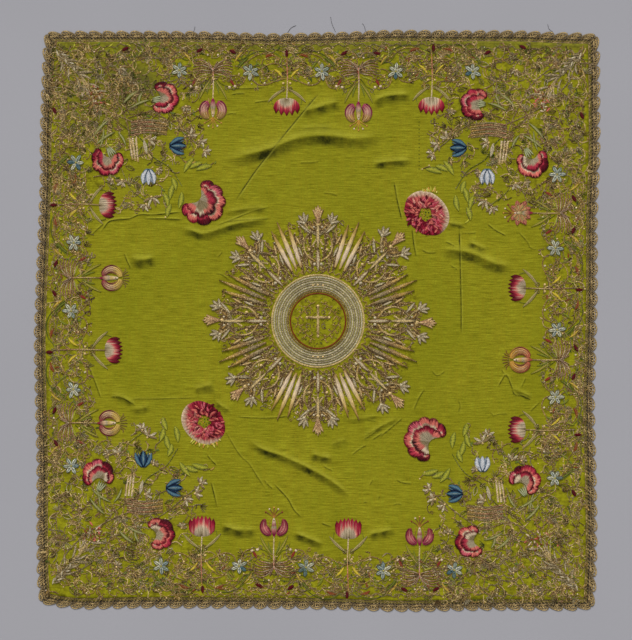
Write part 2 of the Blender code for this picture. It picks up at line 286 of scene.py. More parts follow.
def surface(points, shades=False):
    """The height of the cloth's underside at each point, in millimetres; shades adds the painted shade on the
    folds' steep sides and in the creases, how embroidered it is and the painted highlight on the crests."""
    height, dark, shine = np.zeros((3, len(points)))

    def shade(near, shadow, light):
        dark[near] = np.maximum(dark[near], shadow)
        shine[near] = np.maximum(shine[near], light)

    for fold, line in FOLD_LINES:
        reach = fold.width * (0.5 + GENTLE)
        near = near_box(points, line, reach)
        if len(near) == 0:
            continue
        far, side, share = near_line(points[near], line)
        across = far * side / fold.width
        rise = np.where(across < 0.5, smooth(across + 0.5), 1 - smooth((across - 0.5) / GENTLE))
        ends = tapered(share, FOLD_TAPER)
        height[near] = np.maximum(height[near], fold.height * np.where(far < reach, rise, 0) * ends)
        steep = ends * min(1.0, fold.height / STEEP_HEIGHT)
        # painted shade on the fold's steep side and a painted highlight on its crest
        lumps = 1.1 + 0.35 * np.sin(17 * share + 2 * fold.width)
        band = smooth((0.62 - across) / 0.3) * smooth((across + 1.1) / 0.7) * lumps
        core = bell(across, 0.42, 0.16) * (0.4 + 0.6 * np.sin(9 * share + fold.width) ** 2)
        crest = smooth((across - 0.5) / 0.2) * smooth((1.6 - across) / 0.8)
        shade(near, steep * np.maximum(0.56 * band, 0.68 * core), 0.34 * steep * crest)
    for crease, line in CREASE_LINES:
        near = near_box(points, line, 4 * crease.width)
        if len(near) == 0:
            continue
        far, side, share = near_line(points[near], line)
        ends = tapered(share, CREASE_TAPER)
        height[near] += crease.height * bell(far * side, 0.7 * crease.width, crease.width) * ends
        # painted shade along the crease and a painted highlight beside it
        shade(near, min(1, 1.4 * crease.dark) * bell(far, 0, 0.45 + 0.2 * crease.dark) * ends,
              0.38 * crease.dark * bell(far * side, 1.4, 0.7) * ends)
    busy = worked(points)
    height += 0.14 * (1 + waves(points, 14, 16, 60, 3)) + 0.10 * busy * (1 + waves(points, 20, 4, 11, 5))
    return (height, dark, busy, shine) if shades else height


class Graph:
    """A material's nodes, added one line each."""

    def __init__(self, name, **settings):
        self.material = bpy.data.materials.new(name)
        self.material.use_nodes = True
        self.nodes, self.links = self.material.node_tree.nodes, self.material.node_tree.links
        self.shader = self.nodes["Principled BSDF"]
        self.place = self.add("ShaderNodeTexCoord").node.outputs["Object"]
        for key, value in settings.items():
            self.shader.inputs[key.replace("_", " ")].default_value = value

    def add(self, kind, values=(), **settings):
        node = self.nodes.new(kind)
        for key, value in settings.items():
            setattr(node, key, value)
        for key, value in dict(values).items():
            if isinstance(value, bpy.types.NodeSocket):
                self.links.new(value, node.inputs[key])
            else:
                node.inputs[key].default_value = value
        return node.outputs[0]

    def noise(self, scale, where=None, detail=2.0, rough=0.5, low=0.3, high=0.7, to=(0.0, 1.0)):
        """Noise with its own scale along x, y and z, spread to a range."""
        where = self.add("ShaderNodeVectorMath", {0: where or self.place, 1: scale}, operation="MULTIPLY")
        values = {"Vector": where, "Scale": 1.0, "Detail": detail, "Roughness": rough}
        value = self.add("ShaderNodeTexNoise", values)
        return self.add("ShaderNodeMapRange", {0: value, 1: low, 2: high, 3: to[0], 4: to[1]})

    def attribute(self, name, colour=False):
        node = self.add("ShaderNodeAttribute", attribute_name=name).node
        return node.outputs["Color" if colour else "Fac"]

    def times(self, a, b, clamp=False):
        return self.add("ShaderNodeMath", {0: a, 1: b}, operation="MULTIPLY", use_clamp=clamp)

    def plus(self, a, b):
        return self.add("ShaderNodeMath", {0: a, 1: b}, operation="ADD")

    def mix(self, a, b, share):
        """A share of colour b over colour a; a may be another node's colour."""
        a = a if isinstance(a, bpy.types.NodeSocket) else (*a, 1)
        return self.add("ShaderNodeMix", {0: share, 6: a, 7: (*b, 1)}, data_type="RGBA").node.outputs[2]

    def brighten(self, colour, value):
        return self.add("ShaderNodeVectorMath", {0: colour, 3: value}, operation="SCALE")

    def bump(self, height, distance):
        values = {"Height": height, "Distance": distance, "Strength": 0.8}
        self.links.new(self.add("ShaderNodeBump", values), self.shader.inputs["Normal"])

    def colour(self, value):
        self.links.new(value, self.shader.inputs["Base Color"])
        return self.material


def silk_material():
    """Taffeta: fine uneven weft lines, a fainter warp, cloudy colour, a stain, and painted shade and highlights.
    """
    g = Graph("green_silk_taffeta", Roughness=0.6, Specular_IOR_Level=0.08)
    weft = g.noise((70, 800, 1), detail=3, rough=0.6, low=0.32, high=0.68)
    slub = g.noise((24, 300, 1), detail=2, rough=0.5, low=0.38, high=0.62)
    warp = g.noise((460, 40, 1), detail=3, rough=0.6, low=0.36, high=0.64)
    cloud = g.noise((12, 9, 12), detail=4, rough=0.55, low=0.32, high=0.68)
    grit = g.noise((640, 640, 640), detail=2, low=0.3, high=0.7)
    speck = g.noise((380, 380, 380), detail=3, low=0.36, high=0.64)
    patch = g.noise((110, 110, 110), to=(0.0, 0.5))
    ragged = g.noise((90, 90, 90), detail=4, rough=0.7, low=0.3, high=0.7, to=(0.45, 1.45))
    busy = g.attribute("worked")
    base = g.mix(rgb(97, 93, 0), rgb(157, 153, 29), weft)
    base = g.mix(base, rgb(152, 152, 30), g.times(slub, 0.25))
    base = g.mix(base, rgb(138, 126, 18), g.times(warp, 0.55))
    base = g.mix(base, rgb(110, 114, 2), g.times(cloud, 0.4))
    base = g.brighten(base, g.plus(g.times(grit, 0.2), 0.9))
    base = g.mix(base, rgb(84, 76, 4), g.times(busy, g.times(speck, 0.85)))
    base = g.mix(base, rgb(164, 162, 18), g.times(busy, patch))
    # a stain in the upper left corner, painted shade round it, and a painted shadow just inside the top seam
    base = g.mix(base, rgb(80, 78, 36), g.attribute("soil"))
    # painted shade in the creases and on the folds' steep sides
    base = g.mix(base, rgb(38, 40, 0), g.times(g.attribute("crease"), ragged, clamp=True))
    # painted highlight on the folds' crests and beside the creases
    base = g.mix(base, rgb(184, 180, 60), g.times(g.attribute("shine"), ragged, clamp=True))
    g.bump(g.plus(g.times(weft, 0.6), g.times(speck, busy)), 0.0003)
    return g.colour(base)


def thread_material(name, scale, low, contrast, darkest, relief, stitched=False, painted_glints=False, **settings):
    """Thread in its own tints, flecked and uneven; `stitched` runs the flecks along the stitches."""
    g = Graph(name, **settings)
    grain = g.add("ShaderNodeUVMap", uv_map="grain") if stitched else None
    fleck = g.noise(scale, grain, detail=3 if stitched else 2, rough=0.6, low=low, high=1 - low)
    g.bump(fleck, relief)
    tint = g.brighten(g.attribute("tint", True), g.plus(g.times(fleck, contrast), darkest))
    if painted_glints:
        # painted glints: pale specks standing in for the light caught by the metal
        glint = g.noise((900, 900, 900), detail=1, low=0.6, high=0.68)
        tint = g.mix(tint, rgb(232, 208, 150), g.times(glint, 0.7))
    return g.colour(tint)


def make_object(name, verts, faces, material):
    mesh = bpy.data.meshes.new(name)
    mesh.from_pydata(verts, [], faces)
    mesh.update()
    mesh.materials.append(material)
    obj = bpy.data.objects.new(name, mesh)
    bpy.context.scene.collection.objects.link(obj)
    return obj


def point_values(mesh, name, values):
    mesh.attributes.new(name, "FLOAT", "POINT").data.foreach_set("value", np.asarray(values, np.float32))


class Work:
    """Collects stitched shapes, in millimetres, and lays them on the cloth."""

    MOST_FACES = 80000

    def __init__(self, low=SINK):
        self.low = low
        self.grids = []

    def grid(self, places, lifts, tints, grain):
        """A skin of rows and columns of points, each with its lift, colour and place among the stitches."""
        shape = places.shape[:2]
        lifts, tints = np.broadcast_to(lifts, shape), np.broadcast_to(tints, (*shape, 3))
        self.grids.append((shape, places.reshape(-1, 2), lifts.ravel(), tints.reshape(-1, 3),
                           grain.reshape(-1, 2)))

    def band(self, path, widths, lift, tints, flat=True):
        """A thread, cord or petal along a path, with its widths and colours given from end to end."""
        path = np.asarray(path, float)
        t, widths, tints = np.linspace(0, 1, len(path)), np.atleast_1d(widths), np.atleast_2d(tints)
        half = 0.5 * np.interp(t, np.linspace(0, 1, len(widths)), widths)
        cols = np.array((-1.0, -0.6, 0.6, 1.0)) if flat else np.array((-1.0, 0.0, 1.0))
        lifts = np.where(np.abs(cols) > 0.9, self.low, lift)[None]
        tints = np.stack([np.interp(t, np.linspace(0, 1, len(tints)), c) for c in tints.T], -1)[:, None]
        # painted shade along the edges, where the raised thread meets the cloth
        tints = tints * np.where(np.abs(cols) > 0.9, 0.45, 1.0)[:, None]
        across = cols[None] * half[:, None]
        run = np.concatenate([[0], np.cumsum(np.hypot(*np.diff(path, axis=0).T))])[:, None]
        grain = np.stack(np.broadcast_arrays(across + grain_dice.uniform(0, 99), run), -1)
        self.grid(path[:, None] + left_of(path)[:, None] * across[..., None], lifts, tints, grain)

    def strand(self, path, width, lift, tints):
        """A round thread along a path."""
        self.band(path, width, lift, tints, flat=False)

    def leaf(self, base, tip, width, tints, bend=0.0, lift=0.6, rows=7, blunt=0.75):
        """A leaf or petal from base to tip, with the colours of its edge, body and vein."""
        base, tip = np.asarray(base, float), np.asarray(tip, float)
        t = np.linspace(0, 1, rows)
        ahead = tip - base
        side = np.array((-ahead[1], ahead[0])) / max(np.hypot(*ahead), 1e-9)
        path = base + ahead * t[:, None] + side * (bend * np.sin(math.pi * t))[:, None]
        half = 0.5 * width * np.sin(math.pi * (t * 0.96 + 0.02)) ** blunt
        tints = np.atleast_2d(tints)
        edge, body, vein = tints[0], tints[min(1, len(tints) - 1)], tints[-1]
        cols, lifts, tints = (-1, 0, 1), (self.low, lift, self.low), (edge, vein, edge)
        if rows > 5:
            cols, lifts = (-1, -0.55, 0, 0.55, 1), (self.low, lift, 0.7 * lift, lift, self.low)
            tints = edge, body, vein, body, edge
        across = np.array(cols)[None] * half[:, None]
        run = (t * np.hypot(*ahead))[:, None] + grain_dice.uniform(0, 99)
        grain = np.stack(np.broadcast_arrays(run, across), -1)
        self.grid(path[:, None] + side * across[..., None], np.array(lifts), np.array(tints)[None], grain)

    def dot(self, place, radius, lift, tint, edge=None, sides=6):
        """A small dome, such as a berry, a knot or a spangle."""
        ring = ray(np.linspace(0, 2 * math.pi, sides + 1))
        rows = np.array((0.03, 0.6, 1.0))[:, None, None] * radius
        lifts = np.array((lift, 0.75 * lift, self.low))[:, None]
        tints = np.stack([tint, tint, tint if edge is None else edge])[:, None]
        places = np.asarray(place) + rows * ring[None]
        self.grid(places, lifts, tints, places)

    def finish(self, name, material, on_cloth=True):
        """Makes the collected shapes into pieces, none with too many faces, and returns them."""
        batches, room = [[]], self.MOST_FACES
        for grid in self.grids:
            faces = (grid[0][0] - 1) * (grid[0][1] - 1)
            if faces > room:
                batches.append([])
                room = self.MOST_FACES
            batches[-1].append(grid)
            room -= faces
        return [self.piece(f"{name}_{k + 1}" if len(batches) > 1 else name, batch, material, on_cloth)
                for k, batch in enumerate(batches)]

    def piece(self, name, grids, material, on_cloth):
        """One mesh of some of the shapes, with all its faces upwards."""
        faces, count = [], 0
        for (rows, cols), *_ in grids:
            index = np.arange(rows * cols).reshape(rows, cols) + count
            quads = np.stack([index[:-1, :-1], index[:-1, 1:], index[1:, 1:], index[1:, :-1]], -1)
            faces.append(quads.reshape(-1, 4))
            count += rows * cols
        faces = np.vstack(faces)
        places, lifts, tints, grains = (np.concatenate([g[k] for g in grids]) for k in (1, 2, 3, 4))
        corners = places[faces]
        a, b = corners[:, 2] - corners[:, 0], corners[:, 3] - corners[:, 1]
        down = a[:, 0] * b[:, 1] - a[:, 1] * b[:, 0] < 0
        faces[down] = faces[down][:, ::-1]
        height = lifts + (surface(places) + SILK_THICKNESS if on_cloth else 0)
        obj = make_object(name, (np.column_stack([places, height]) * MM).tolist(), faces.tolist(), material)
        colours = np.column_stack([tints, np.ones(len(tints))]).clip(0, 1)
        tint = obj.data.color_attributes.new("tint", "FLOAT_COLOR", "POINT")
        tint.data.foreach_set("color", colours.ravel())
        obj.data.uv_layers.new(name="grain").data.foreach_set("uv", grains[faces.ravel()].ravel())
        obj.data.shade_smooth()
        return obj


silks, metals = Work(), Work()


class Spot:
    """A motif's own axes, u to the right and v down, placed, turned clockwise and sized on the chart."""

    def __init__(self, x, y, turn=0.0, size=1.0, flip=1):
        self.x, self.y, self.size, self.flip = x, y, size, flip
        self.cos, self.sin = math.cos(math.radians(turn)), math.sin(math.radians(turn))

    def chart(self, u, v):
        u, v = u * self.size * self.flip, v * self.size
        return np.stack([self.x + u * self.cos - v * self.sin, self.y + u * self.sin + v * self.cos], -1)

    def __call__(self, *points):
        p = np.asarray(points if len(points) > 1 else points[0], float)
        return chart(self.chart(p[..., 0], p[..., 1]))


# Thread colours.
CREAM, BONE, SALMON = rgb(214, 190, 158), rgb(160, 144, 116), rgb(204, 106, 92)
PINK, ROSE, CRIMSON, WINE = rgb(194, 88, 98), rgb(168, 44, 62), rgb(128, 14, 38), rgb(84, 4, 20)
DEEP, BEAN, EMBER, BLUSH = rgb(52, 0, 10), rgb(88, 12, 20), rgb(126, 62, 30), rgb(212, 142, 124)
OCHRE, LEMON, WHITE, NAVY = rgb(196, 146, 62), rgb(214, 200, 96), rgb(214, 214, 214), rgb(16, 34, 66)
SPRING, OLIVE, MOSS, FERN = rgb(176, 172, 52), rgb(118, 122, 38), rgb(68, 78, 24), rgb(98, 116, 42)
GILT, PALE_GILT, BROWN, UMBER = rgb(170, 136, 66), rgb(214, 184, 122), rgb(130, 100, 60), rgb(76, 56, 24)
SILVER, GREY, PLUM = rgb(194, 180, 148), rgb(130, 114, 82), rgb(154, 100, 76)
OUTER_TONES = ((CREAM, SALMON, WINE), (SALMON, CRIMSON, DEEP), (CREAM * 0.9, PINK, WINE), (BONE, SALMON, WINE),
               (SALMON, ROSE, WINE), (CREAM, SALMON, CRIMSON), (ROSE, WINE, DEEP))
HEART_TONES = ((BONE, SALMON, WINE), (GREY, SALMON * 0.9, DEEP), (BONE, ROSE, WINE), (GREY, CREAM * 0.9, WINE),
               (BONE, SALMON, CRIMSON))
RUFFLE_TONES = ((CREAM, SALMON, WINE), (SALMON, ROSE, WINE), (PINK, CRIMSON, DEEP))


def ramp(stops, share):
    """Colours at these shares along rows of (share, colour)."""
    at, colours = [s for s, _ in stops], np.array([c for _, c in stops])
    return np.stack([np.interp(share, at, c) for c in colours.T], -1)


def blend(a, b, share):
    share = np.asarray(share)[..., None]
    return a * (1 - share) + b * share


def stitched(places, lifts, tints, along, down):
    """Lays a grid of chart places as silk, with the distances along and down its rows for the stitches."""
    silks.grid(chart(places), lifts, tints, np.stack(np.broadcast_arrays(along, down), -1))


CARNATION_SWEEP, CURLED_SWEEP = 225, 215  # degrees that the petals spread round their hub


def carnation(x, y, facing, radius, petals, seed):
    """A carnation from the side: a pale throat, a serrated inner tier, an outer tier and two curled ends."""
    dice, sweep = np.random.default_rng(seed), CARNATION_SWEEP
    hub = np.array((x, y)) - 0.42 * radius * ray(math.radians(facing))
    cols = 20 * petals + 1
    t, saw = np.linspace(-1, 1, cols), (-1.0) ** np.arange(cols)

    def lobes(count):
        bounds = np.cumsum([0, *dice.uniform(0.7, 1.3, count)])
        share = np.interp((t + 1) / 2, bounds / bounds[-1], np.arange(count + 1))
        return np.abs(np.sin(math.pi * share)) ** 0.5, np.minimum(share.astype(int), count - 1)

    outer, petal = lobes(petals)
    inner, tier = lobes(petals - 2)
    reach = radius * (1.08 + 0.26 * np.cos(np.radians(0.5 * sweep * t))) * (0.86 + 0.12 * outer + 0.024 * saw)
    waist = 0.58 + 0.09 * inner - 0.12 * t ** 2 + 0.02 * saw + 0.04 * np.sin(3 * t + dice.uniform(0, 6))
    root = 0.04 * radius * (1 + 8 * t ** 4)
    u, w = np.linspace(0, 1, 11)[:, None], np.linspace(0, 1, 11)[:, None]
    s = np.vstack([waist * u, waist + (1 - waist) * w])
    turn = np.radians(facing + 0.5 * sweep * t * (1 + 0.06 * np.sin(math.pi * s)))
    places = hub + (root + (reach - root) * s)[..., None] * ray(turn)
    tones = np.array([OUTER_TONES[k] for k in dice.permutation(len(OUTER_TONES))[:petals]])[petal]
    cores = np.array([HEART_TONES[k] for k in dice.permutation(len(HEART_TONES))[: petals - 2]])[tier]

    def fray(reach):
        return dice.uniform(-reach, reach, cols)

    pale = 0.52 - 0.3 * t ** 2 + 0.1 * np.sin(5 * t + dice.uniform(0, 6))
    below = blend(cores[:, 0] * np.ones((11, 1, 1)), cores[:, 1], smooth((u - pale + fray(0.06)) / 0.14))
    below = blend(below, cores[:, 2], smooth((u - 0.76 + fray(0.1)) / 0.08))
    above = blend(tones[:, 0] * np.ones((11, 1, 1)), tones[:, 1], smooth((w - 0.14 + fray(0.12)) / 0.14))
    above = blend(above, tones[:, 2], smooth((w - 0.52 - 0.14 * outer + fray(0.2)) / 0.12))
    tints = np.concatenate([below, above])
    streak = dice.uniform(0, 1, cols) * np.ones_like(s)
    tints = blend(tints, tints * 0.5, (streak > 0.82) * 0.6)
    tints = blend(tints, np.minimum(tints * 1.5 + 0.02, 1), (streak < 0.12) * 0.4)
    lifts = np.vstack([0.7 + 0.75 * np.sin(math.pi * (0.1 + 0.55 * u)),
                       0.55 + 0.75 * np.sin(math.pi * (0.1 + 0.8 * w))]) * np.ones(cols)
    lifts[-1] = lifts[:, 0] = lifts[:, -1] = SINK
    stitched(places, lifts, tints, (t * radius * sweep / 115)[None], s * radius)
    for k in (-1, 1):
        place = hub + 0.66 * radius * ray(math.radians(facing + k * sweep * 0.43))
        ruffle(place, facing + k * sweep * 0.5, radius, [pick(dice, RUFFLE_TONES) for _ in range(2)], dice)


def ruffle(hub, facing, radius, tones, dice):
    """A tier of petals fanned round hub, each with its colours of root, body and rim."""
    petals, sweep, near, far = len(tones), CURLED_SWEEP, 0.02 * radius, 0.37 * radius
    bounds = np.cumsum([0, *dice.uniform(0.8, 1.25, petals)])
    k = np.arange(14 * petals + 1)
    share = np.interp(k / 14, np.arange(petals + 1), bounds / bounds[-1])
    which, lobe = np.minimum(k // 14, petals - 1), np.abs(np.sin(math.pi * k / 14)) ** 0.5
    s = np.linspace(0, 1, 12)[:, None]
    end = (2 * share - 1) ** 2
    uneven = dice.uniform(-0.04, 0.04, petals)[which]
    reach = far * (0.86 + 0.11 * lobe - 0.1 * end + 0.028 * (-1.0) ** k + uneven)
    root = near * (1 + 0.9 * end)
    turn = np.radians(facing + sweep * (share - 0.5) * (1 + 0.07 * np.sin(math.pi * s)))
    places = hub + (root + (reach - root) * s)[..., None] * ray(turn)
    body = smooth((s - dice.uniform(0.1, 0.34, len(k))) / 0.2)
    rim = smooth((s - dice.uniform(0.5, 0.74, len(k)) + 0.14 * (1 - lobe)) / 0.12)
    shades = np.array(tones)[which]
    tints = blend(blend(shades[:, 0], shades[:, 1], body), shades[:, 2], rim)
    streak = dice.uniform(0, 1, len(k)) * np.ones_like(s)
    tints = blend(tints, tints * 0.4, (streak > 0.8) * 0.75)
    tints = blend(tints, np.minimum(tints * 1.6 + 0.03, 1), (streak < 0.12) * 0.5 * (1 - rim))
    # painted shade in the valleys where the petals meet
    tints = blend(tints, WINE * 0.6, 0.4 * (1 - lobe) ** 3 * smooth((s - 0.35) / 0.3))
    lifts = 1.2 * (0.6 + 0.4 * np.sin(math.pi * (0.15 + 0.75 * s))) * np.ones(len(k))
    lifts[-1] = lifts[:, 0] = lifts[:, -1] = SINK
    stitched(places, lifts, tints, (share * far * sweep / 57)[None], s * far)


def full_carnation(x, y, facing, radius, seed):
    """A carnation seen from above: short ragged petals round a hollow, with a smooth pale rim on one side."""
    dice, middle, towards = np.random.default_rng(seed), np.array((x, y)), math.radians(facing)
    k = np.arange(121)
    turn = np.radians(3.0 * k)
    pale = smooth((np.cos(turn - towards) + 0.35) / 0.7)
    ragged = 0.03 * np.abs(np.sin(4.5 * turn)) * (1 - pale)
    far = radius * (0.98 + 0.11 * np.cos(2 * turn - math.pi / 2) + ragged)
    hollow = -0.1 * radius * ray(towards)
    root = hollow + ray(turn) * (radius * (0.27 + 0.03 * np.sin(5 * turn) + 0.02 * (-1.0) ** k))[:, None]
    s = np.linspace(0, 1, 14)[:, None]
    places = middle + root + (ray(turn) * far[:, None] - root) * s[..., None]
    base = np.array((CRIMSON, WINE, WINE, ROSE, ROSE, CRIMSON))[dice.integers(0, 6, 121)]
    tints = blend(base, SALMON, 0.4 * pale) * np.ones((14, 1, 1))
    start = 0.9 - 0.28 * pale + dice.uniform(-0.06, 0.06, 121)
    rim = blend(WINE, BONE * 0.45 + CREAM * 0.4 + SALMON * 0.12, pale)
    rim = blend(rim, PLUM * 0.85, ((k % 4 < 2) * 0.45 * pale)) * np.ones((14, 1, 1))
    tints = blend(tints, rim, smooth((s - start) / 0.22))
    tints = blend(tints, CREAM, 0.7 * pale * smooth((s - 0.88) / 0.08))
    tints = blend(tints, tints * 0.7, (dice.uniform(0, 1, 121) > 0.8) * 0.5 * np.ones_like(s))
    lifts = (0.6 + 0.4 * np.sin(math.pi * (0.1 + 0.8 * s))) * np.ones(121)
    lifts[0] = lifts[-1] = SINK
    for rows in (places, tints, lifts):
        rows[:, -1] = rows[:, 0]
    stitched(places, lifts, tints, (turn * radius * 0.6)[None], s * radius)
    for n in range(120):
        a = 2 * math.pi * n / 120 + dice.uniform(-0.1, 0.1)
        side = math.cos(a - towards)
        most = 0.68 if side > 0 else 0.86
        level = most - (most - 0.34) * (n * 7 % 10) / 10 + dice.uniform(-0.04, 0.04)
        place = middle + hollow * (1 - level) + level * radius * ray(a)
        way = a + math.radians(dice.uniform(0, 60) * dice.choice((-1, 1)))
        far = radius * dice.uniform(0.09, 0.16) * ray(way)
        shades = (SALMON, PINK, BLUSH, ROSE, WINE) if side > -0.1 else (WINE, CRIMSON, SALMON, WINE, PINK)
        tint = pick(dice, shades)
        silks.leaf(chart(place - far), chart(place + far), dice.uniform(2.2, 3.6), (tint * 0.6, tint, tint),
                   lift=1.5, rows=6, blunt=0.5)
    for n in range(13):
        place = middle + hollow + 0.27 * radius * math.sqrt(n / 13) * ray(2.4 * n)
        silks.dot(chart(place), 1.1, 0.7, (OLIVE, OCHRE * 0.8, MOSS)[n % 3], MOSS)


def scrolls(spot, table, stretch=1.0):
    """Cords, leaves and curls, each drawn on both sides of a motif's stem."""
    for s in (-1, 1):
        side = np.array((s, stretch))
        for kind, points, width, tints in table:
            points = np.array(points, float) * side
            if kind == "cord":
                metals.strand(spot(curve(points, round(length_of(points) / 2.5) + 2)), 1.4 * width, 0.9, tints)
            elif kind == "vine":
                silks.strand(spot(curve(points, round(length_of(points) / 2.5) + 2)), width, 0.7, tints)
            elif kind == "leaf":
                silks.leaf(spot(points[0]), spot(points[1]), width, tints, bend=s * 0.3 * width, lift=0.8)
            elif kind == "curl":
                curl(metals, spot, *points[0], 90, width, s * 1.1, 1.4 if width < 4 else 1.9, tints)
            else:
                metals.dot(spot(points[0]), width, 1.0, *tints)


def pink(x, y, turn, stem):
    """A small pink: a cup with a saw edge and a striped throat, on a straight gilt stem among scrolls."""
    spot = Spot(x, y, turn)
    dice = np.random.default_rng(int(x + 7 * y))
    upright = turn in (0, 180)
    teeth, deep = (5 if turn == 0 else 7), (1.3 if turn == 180 else 1.0)
    cols = 8 * teeth + 1
    side, s = np.linspace(-1, 1, cols), np.linspace(0, 1, 11)[:, None]
    tooth = 1 - 2 * np.abs((side * teeth / 2 + 0.5 * (teeth % 2)) % 1 - 0.5)
    top = -9.4 * (1 - 0.98 * np.abs(side) ** 2.3) ** 0.55
    low = 10.3 * deep - 4.4 * side ** 2 - 26 / teeth * (1 - tooth)
    u, v = 13.6 * side * (1 - 0.05 * (1 - s)), top + (low - top) * s
    level = np.hypot(0.8 * u / 13.4, (v + 7.6) / (17.2 * deep)) + dice.uniform(-0.05, 0.05, cols)
    far = 0.05 if upright else 0.0
    tints = ramp(((0, UMBER), (0.1, GREY), (0.3, BONE), (0.42, CREAM * 0.75), (0.52, SALMON * 0.95),
                  (0.62, ROSE), (0.7 + far, ROSE * 0.85 if upright else CRIMSON),
                  (0.84 + far, CRIMSON if upright else WINE),
                  (0.95 + far, WINE), (1.05, DEEP)), level)
    streak = dice.uniform(0, 1, cols) * np.ones_like(s)
    tints = blend(tints, WINE, (streak > 0.72) * 0.5 * smooth((level - 0.2) / 0.3))
    tints = blend(tints, CREAM, (streak < 0.2) * 0.5 * (1 - smooth((level - 0.62) / 0.2)))
    lifts = (0.4 + 0.8 * np.sin(math.pi * s) ** 0.6) * np.ones(cols)
    lifts[0] = lifts[-1] = lifts[:, 0] = lifts[:, -1] = SINK
    silks.grid(spot(np.stack([u, v], -1)), lifts, tints, np.stack([u, v], -1))
    tints = (CREAM, PALE_GILT, SALMON, GILT) if upright else (BROWN, PALE_GILT, PLUM, GREY)
    metals.strand(spot(curve(((0, -8), (0.8, -stem / 2), (0, -stem + 3)), 14)), 1.8, 1.1, tints)
    scrolls(spot, PINK_SCROLLS, stem / 56)


PINK_SCROLLS = (
    ("vine", ((3, -50), (12, -57), (24, -59), (35, -56), (44, -49), (50, -42)), 1.7, (OLIVE, MOSS, OLIVE)),
    ("cord", ((2, -47), (12, -54), (24, -56), (33, -53), (41, -46)), 1.1, (BROWN, GILT, BROWN)),
    ("leaf", ((38, -52), (49, -40)), 3.4, (MOSS * 0.6, MOSS, OLIVE)),
    ("leaf", ((12, -55), (22, -52)), 4.0, (UMBER, EMBER, EMBER)),
    ("cord", ((1, -38), (8, -45), (18, -45), (25, -39), (22, -33), (16, -33)), 1.3, (BROWN, GILT, BROWN)),
    ("cord", ((1, -30), (10, -28), (22, -23), (31, -25), (34, -31)), 1.3, (GILT, BROWN)),
    ("leaf", ((25, -40), (31, -48)), 2.8, (MOSS, OLIVE, OLIVE)),
    ("leaf", ((8, -45), (5, -53)), 2.4, (MOSS, OLIVE, SPRING)),
    ("leaf", ((4, -31), (13, -40)), 3.4, (OLIVE, rgb(192, 166, 42), rgb(206, 184, 60))),
    ("leaf", ((2, -19), (19, -5)), 3.7, (MOSS * 0.7, rgb(170, 160, 104), BROWN)),
    ("vine", ((3, -19), (10, -15), (15, -8), (14, -2)), 1.0, (MOSS, OLIVE)),
    ("leaf", ((14, -26), (10, -33)), 2.2, (MOSS, OLIVE, FERN)),
    ("curl", ((16, -33),), 2.8, (BROWN, GILT)),
    ("curl", ((34, -31),), 2.6, (GREY, GILT)),
    ("curl", ((22, -27),), 3.4, (BROWN, GREY)),
    ("curl", ((26, -33),), 2.8, (GILT, BROWN)),
    ("curl", ((10, -27),), 5.6, (GREY, GILT, BROWN)),
    ("curl", ((9, -42),), 5.2, (BROWN, GREY)),
    ("curl", ((23, -34),), 4.8, (GREY, BROWN)),
    ("curl", ((4, -16),), 2.8, (BROWN, UMBER)),
    ("dot", ((3.4, -25),), 1.7, (PALE_GILT, UMBER)),
    ("dot", ((22, -25),), 1.6, (SILVER, BROWN)),
    ("dot", ((18, -31),), 1.4, (PALE_GILT, BROWN)),
    ("dot", ((18, -38),), 1.6, (MOSS * 0.7, MOSS * 0.4)),
)
IRIS_SCROLLS = (
    ("cord", ((1, -56), (5, -62), (12, -62), (20, -55), (28, -56), (34, -62)), 1.2, (GILT, BROWN, GILT)),
    ("vine", ((4, -56), (14, -58), (24, -52), (32, -54), (38, -62)), 1.3, (OLIVE, MOSS, OLIVE)),
    ("leaf", ((22, -50), (30, -60)), 2.8, (OLIVE, OCHRE, SPRING)),
    ("cord", ((22, -46), (29, -44), (33, -36), (29, -28), (22, -26)), 1.2, (BROWN, GILT, BROWN)),
    ("leaf", ((29, -44), (36, -49)), 2.6, (MOSS, OLIVE, OLIVE)),
    ("leaf", ((2, -32), (14, -12)), 3.6, (MOSS * 0.7, OLIVE, rgb(164, 140, 60))),
    ("leaf", ((1.5, -31), (6, -18)), 2.4, (MOSS, OLIVE, OLIVE)),
    ("leaf", ((3, -38), (14, -34)), 2.4, (MOSS, SPRING, OLIVE)),
    ("vine", ((2, -36), (8, -28), (13, -26), (16, -20)), 1.0, (MOSS, OLIVE)),
    ("curl", ((5, -60),), 3.2, (BROWN, GREY)),
    ("curl", ((11, -63),), 2.6, (GILT, BROWN)),
    ("curl", ((33, -36),), 3.0, (BROWN, GILT)),
    ("curl", ((30, -30),), 3.0, (GREY, GILT)),
    ("curl", ((12, -30),), 3.0, (BROWN, GILT)),
    ("curl", ((14, -22),), 2.4, (GREY, BROWN)),
    ("dot", ((5, -57),), 1.5, (CREAM, UMBER)),
    ("dot", ((10, -58),), 1.4, (MOSS, MOSS * 0.4)),
    ("dot", ((26, -38),), 1.3, (PALE_GILT, UMBER)),
)


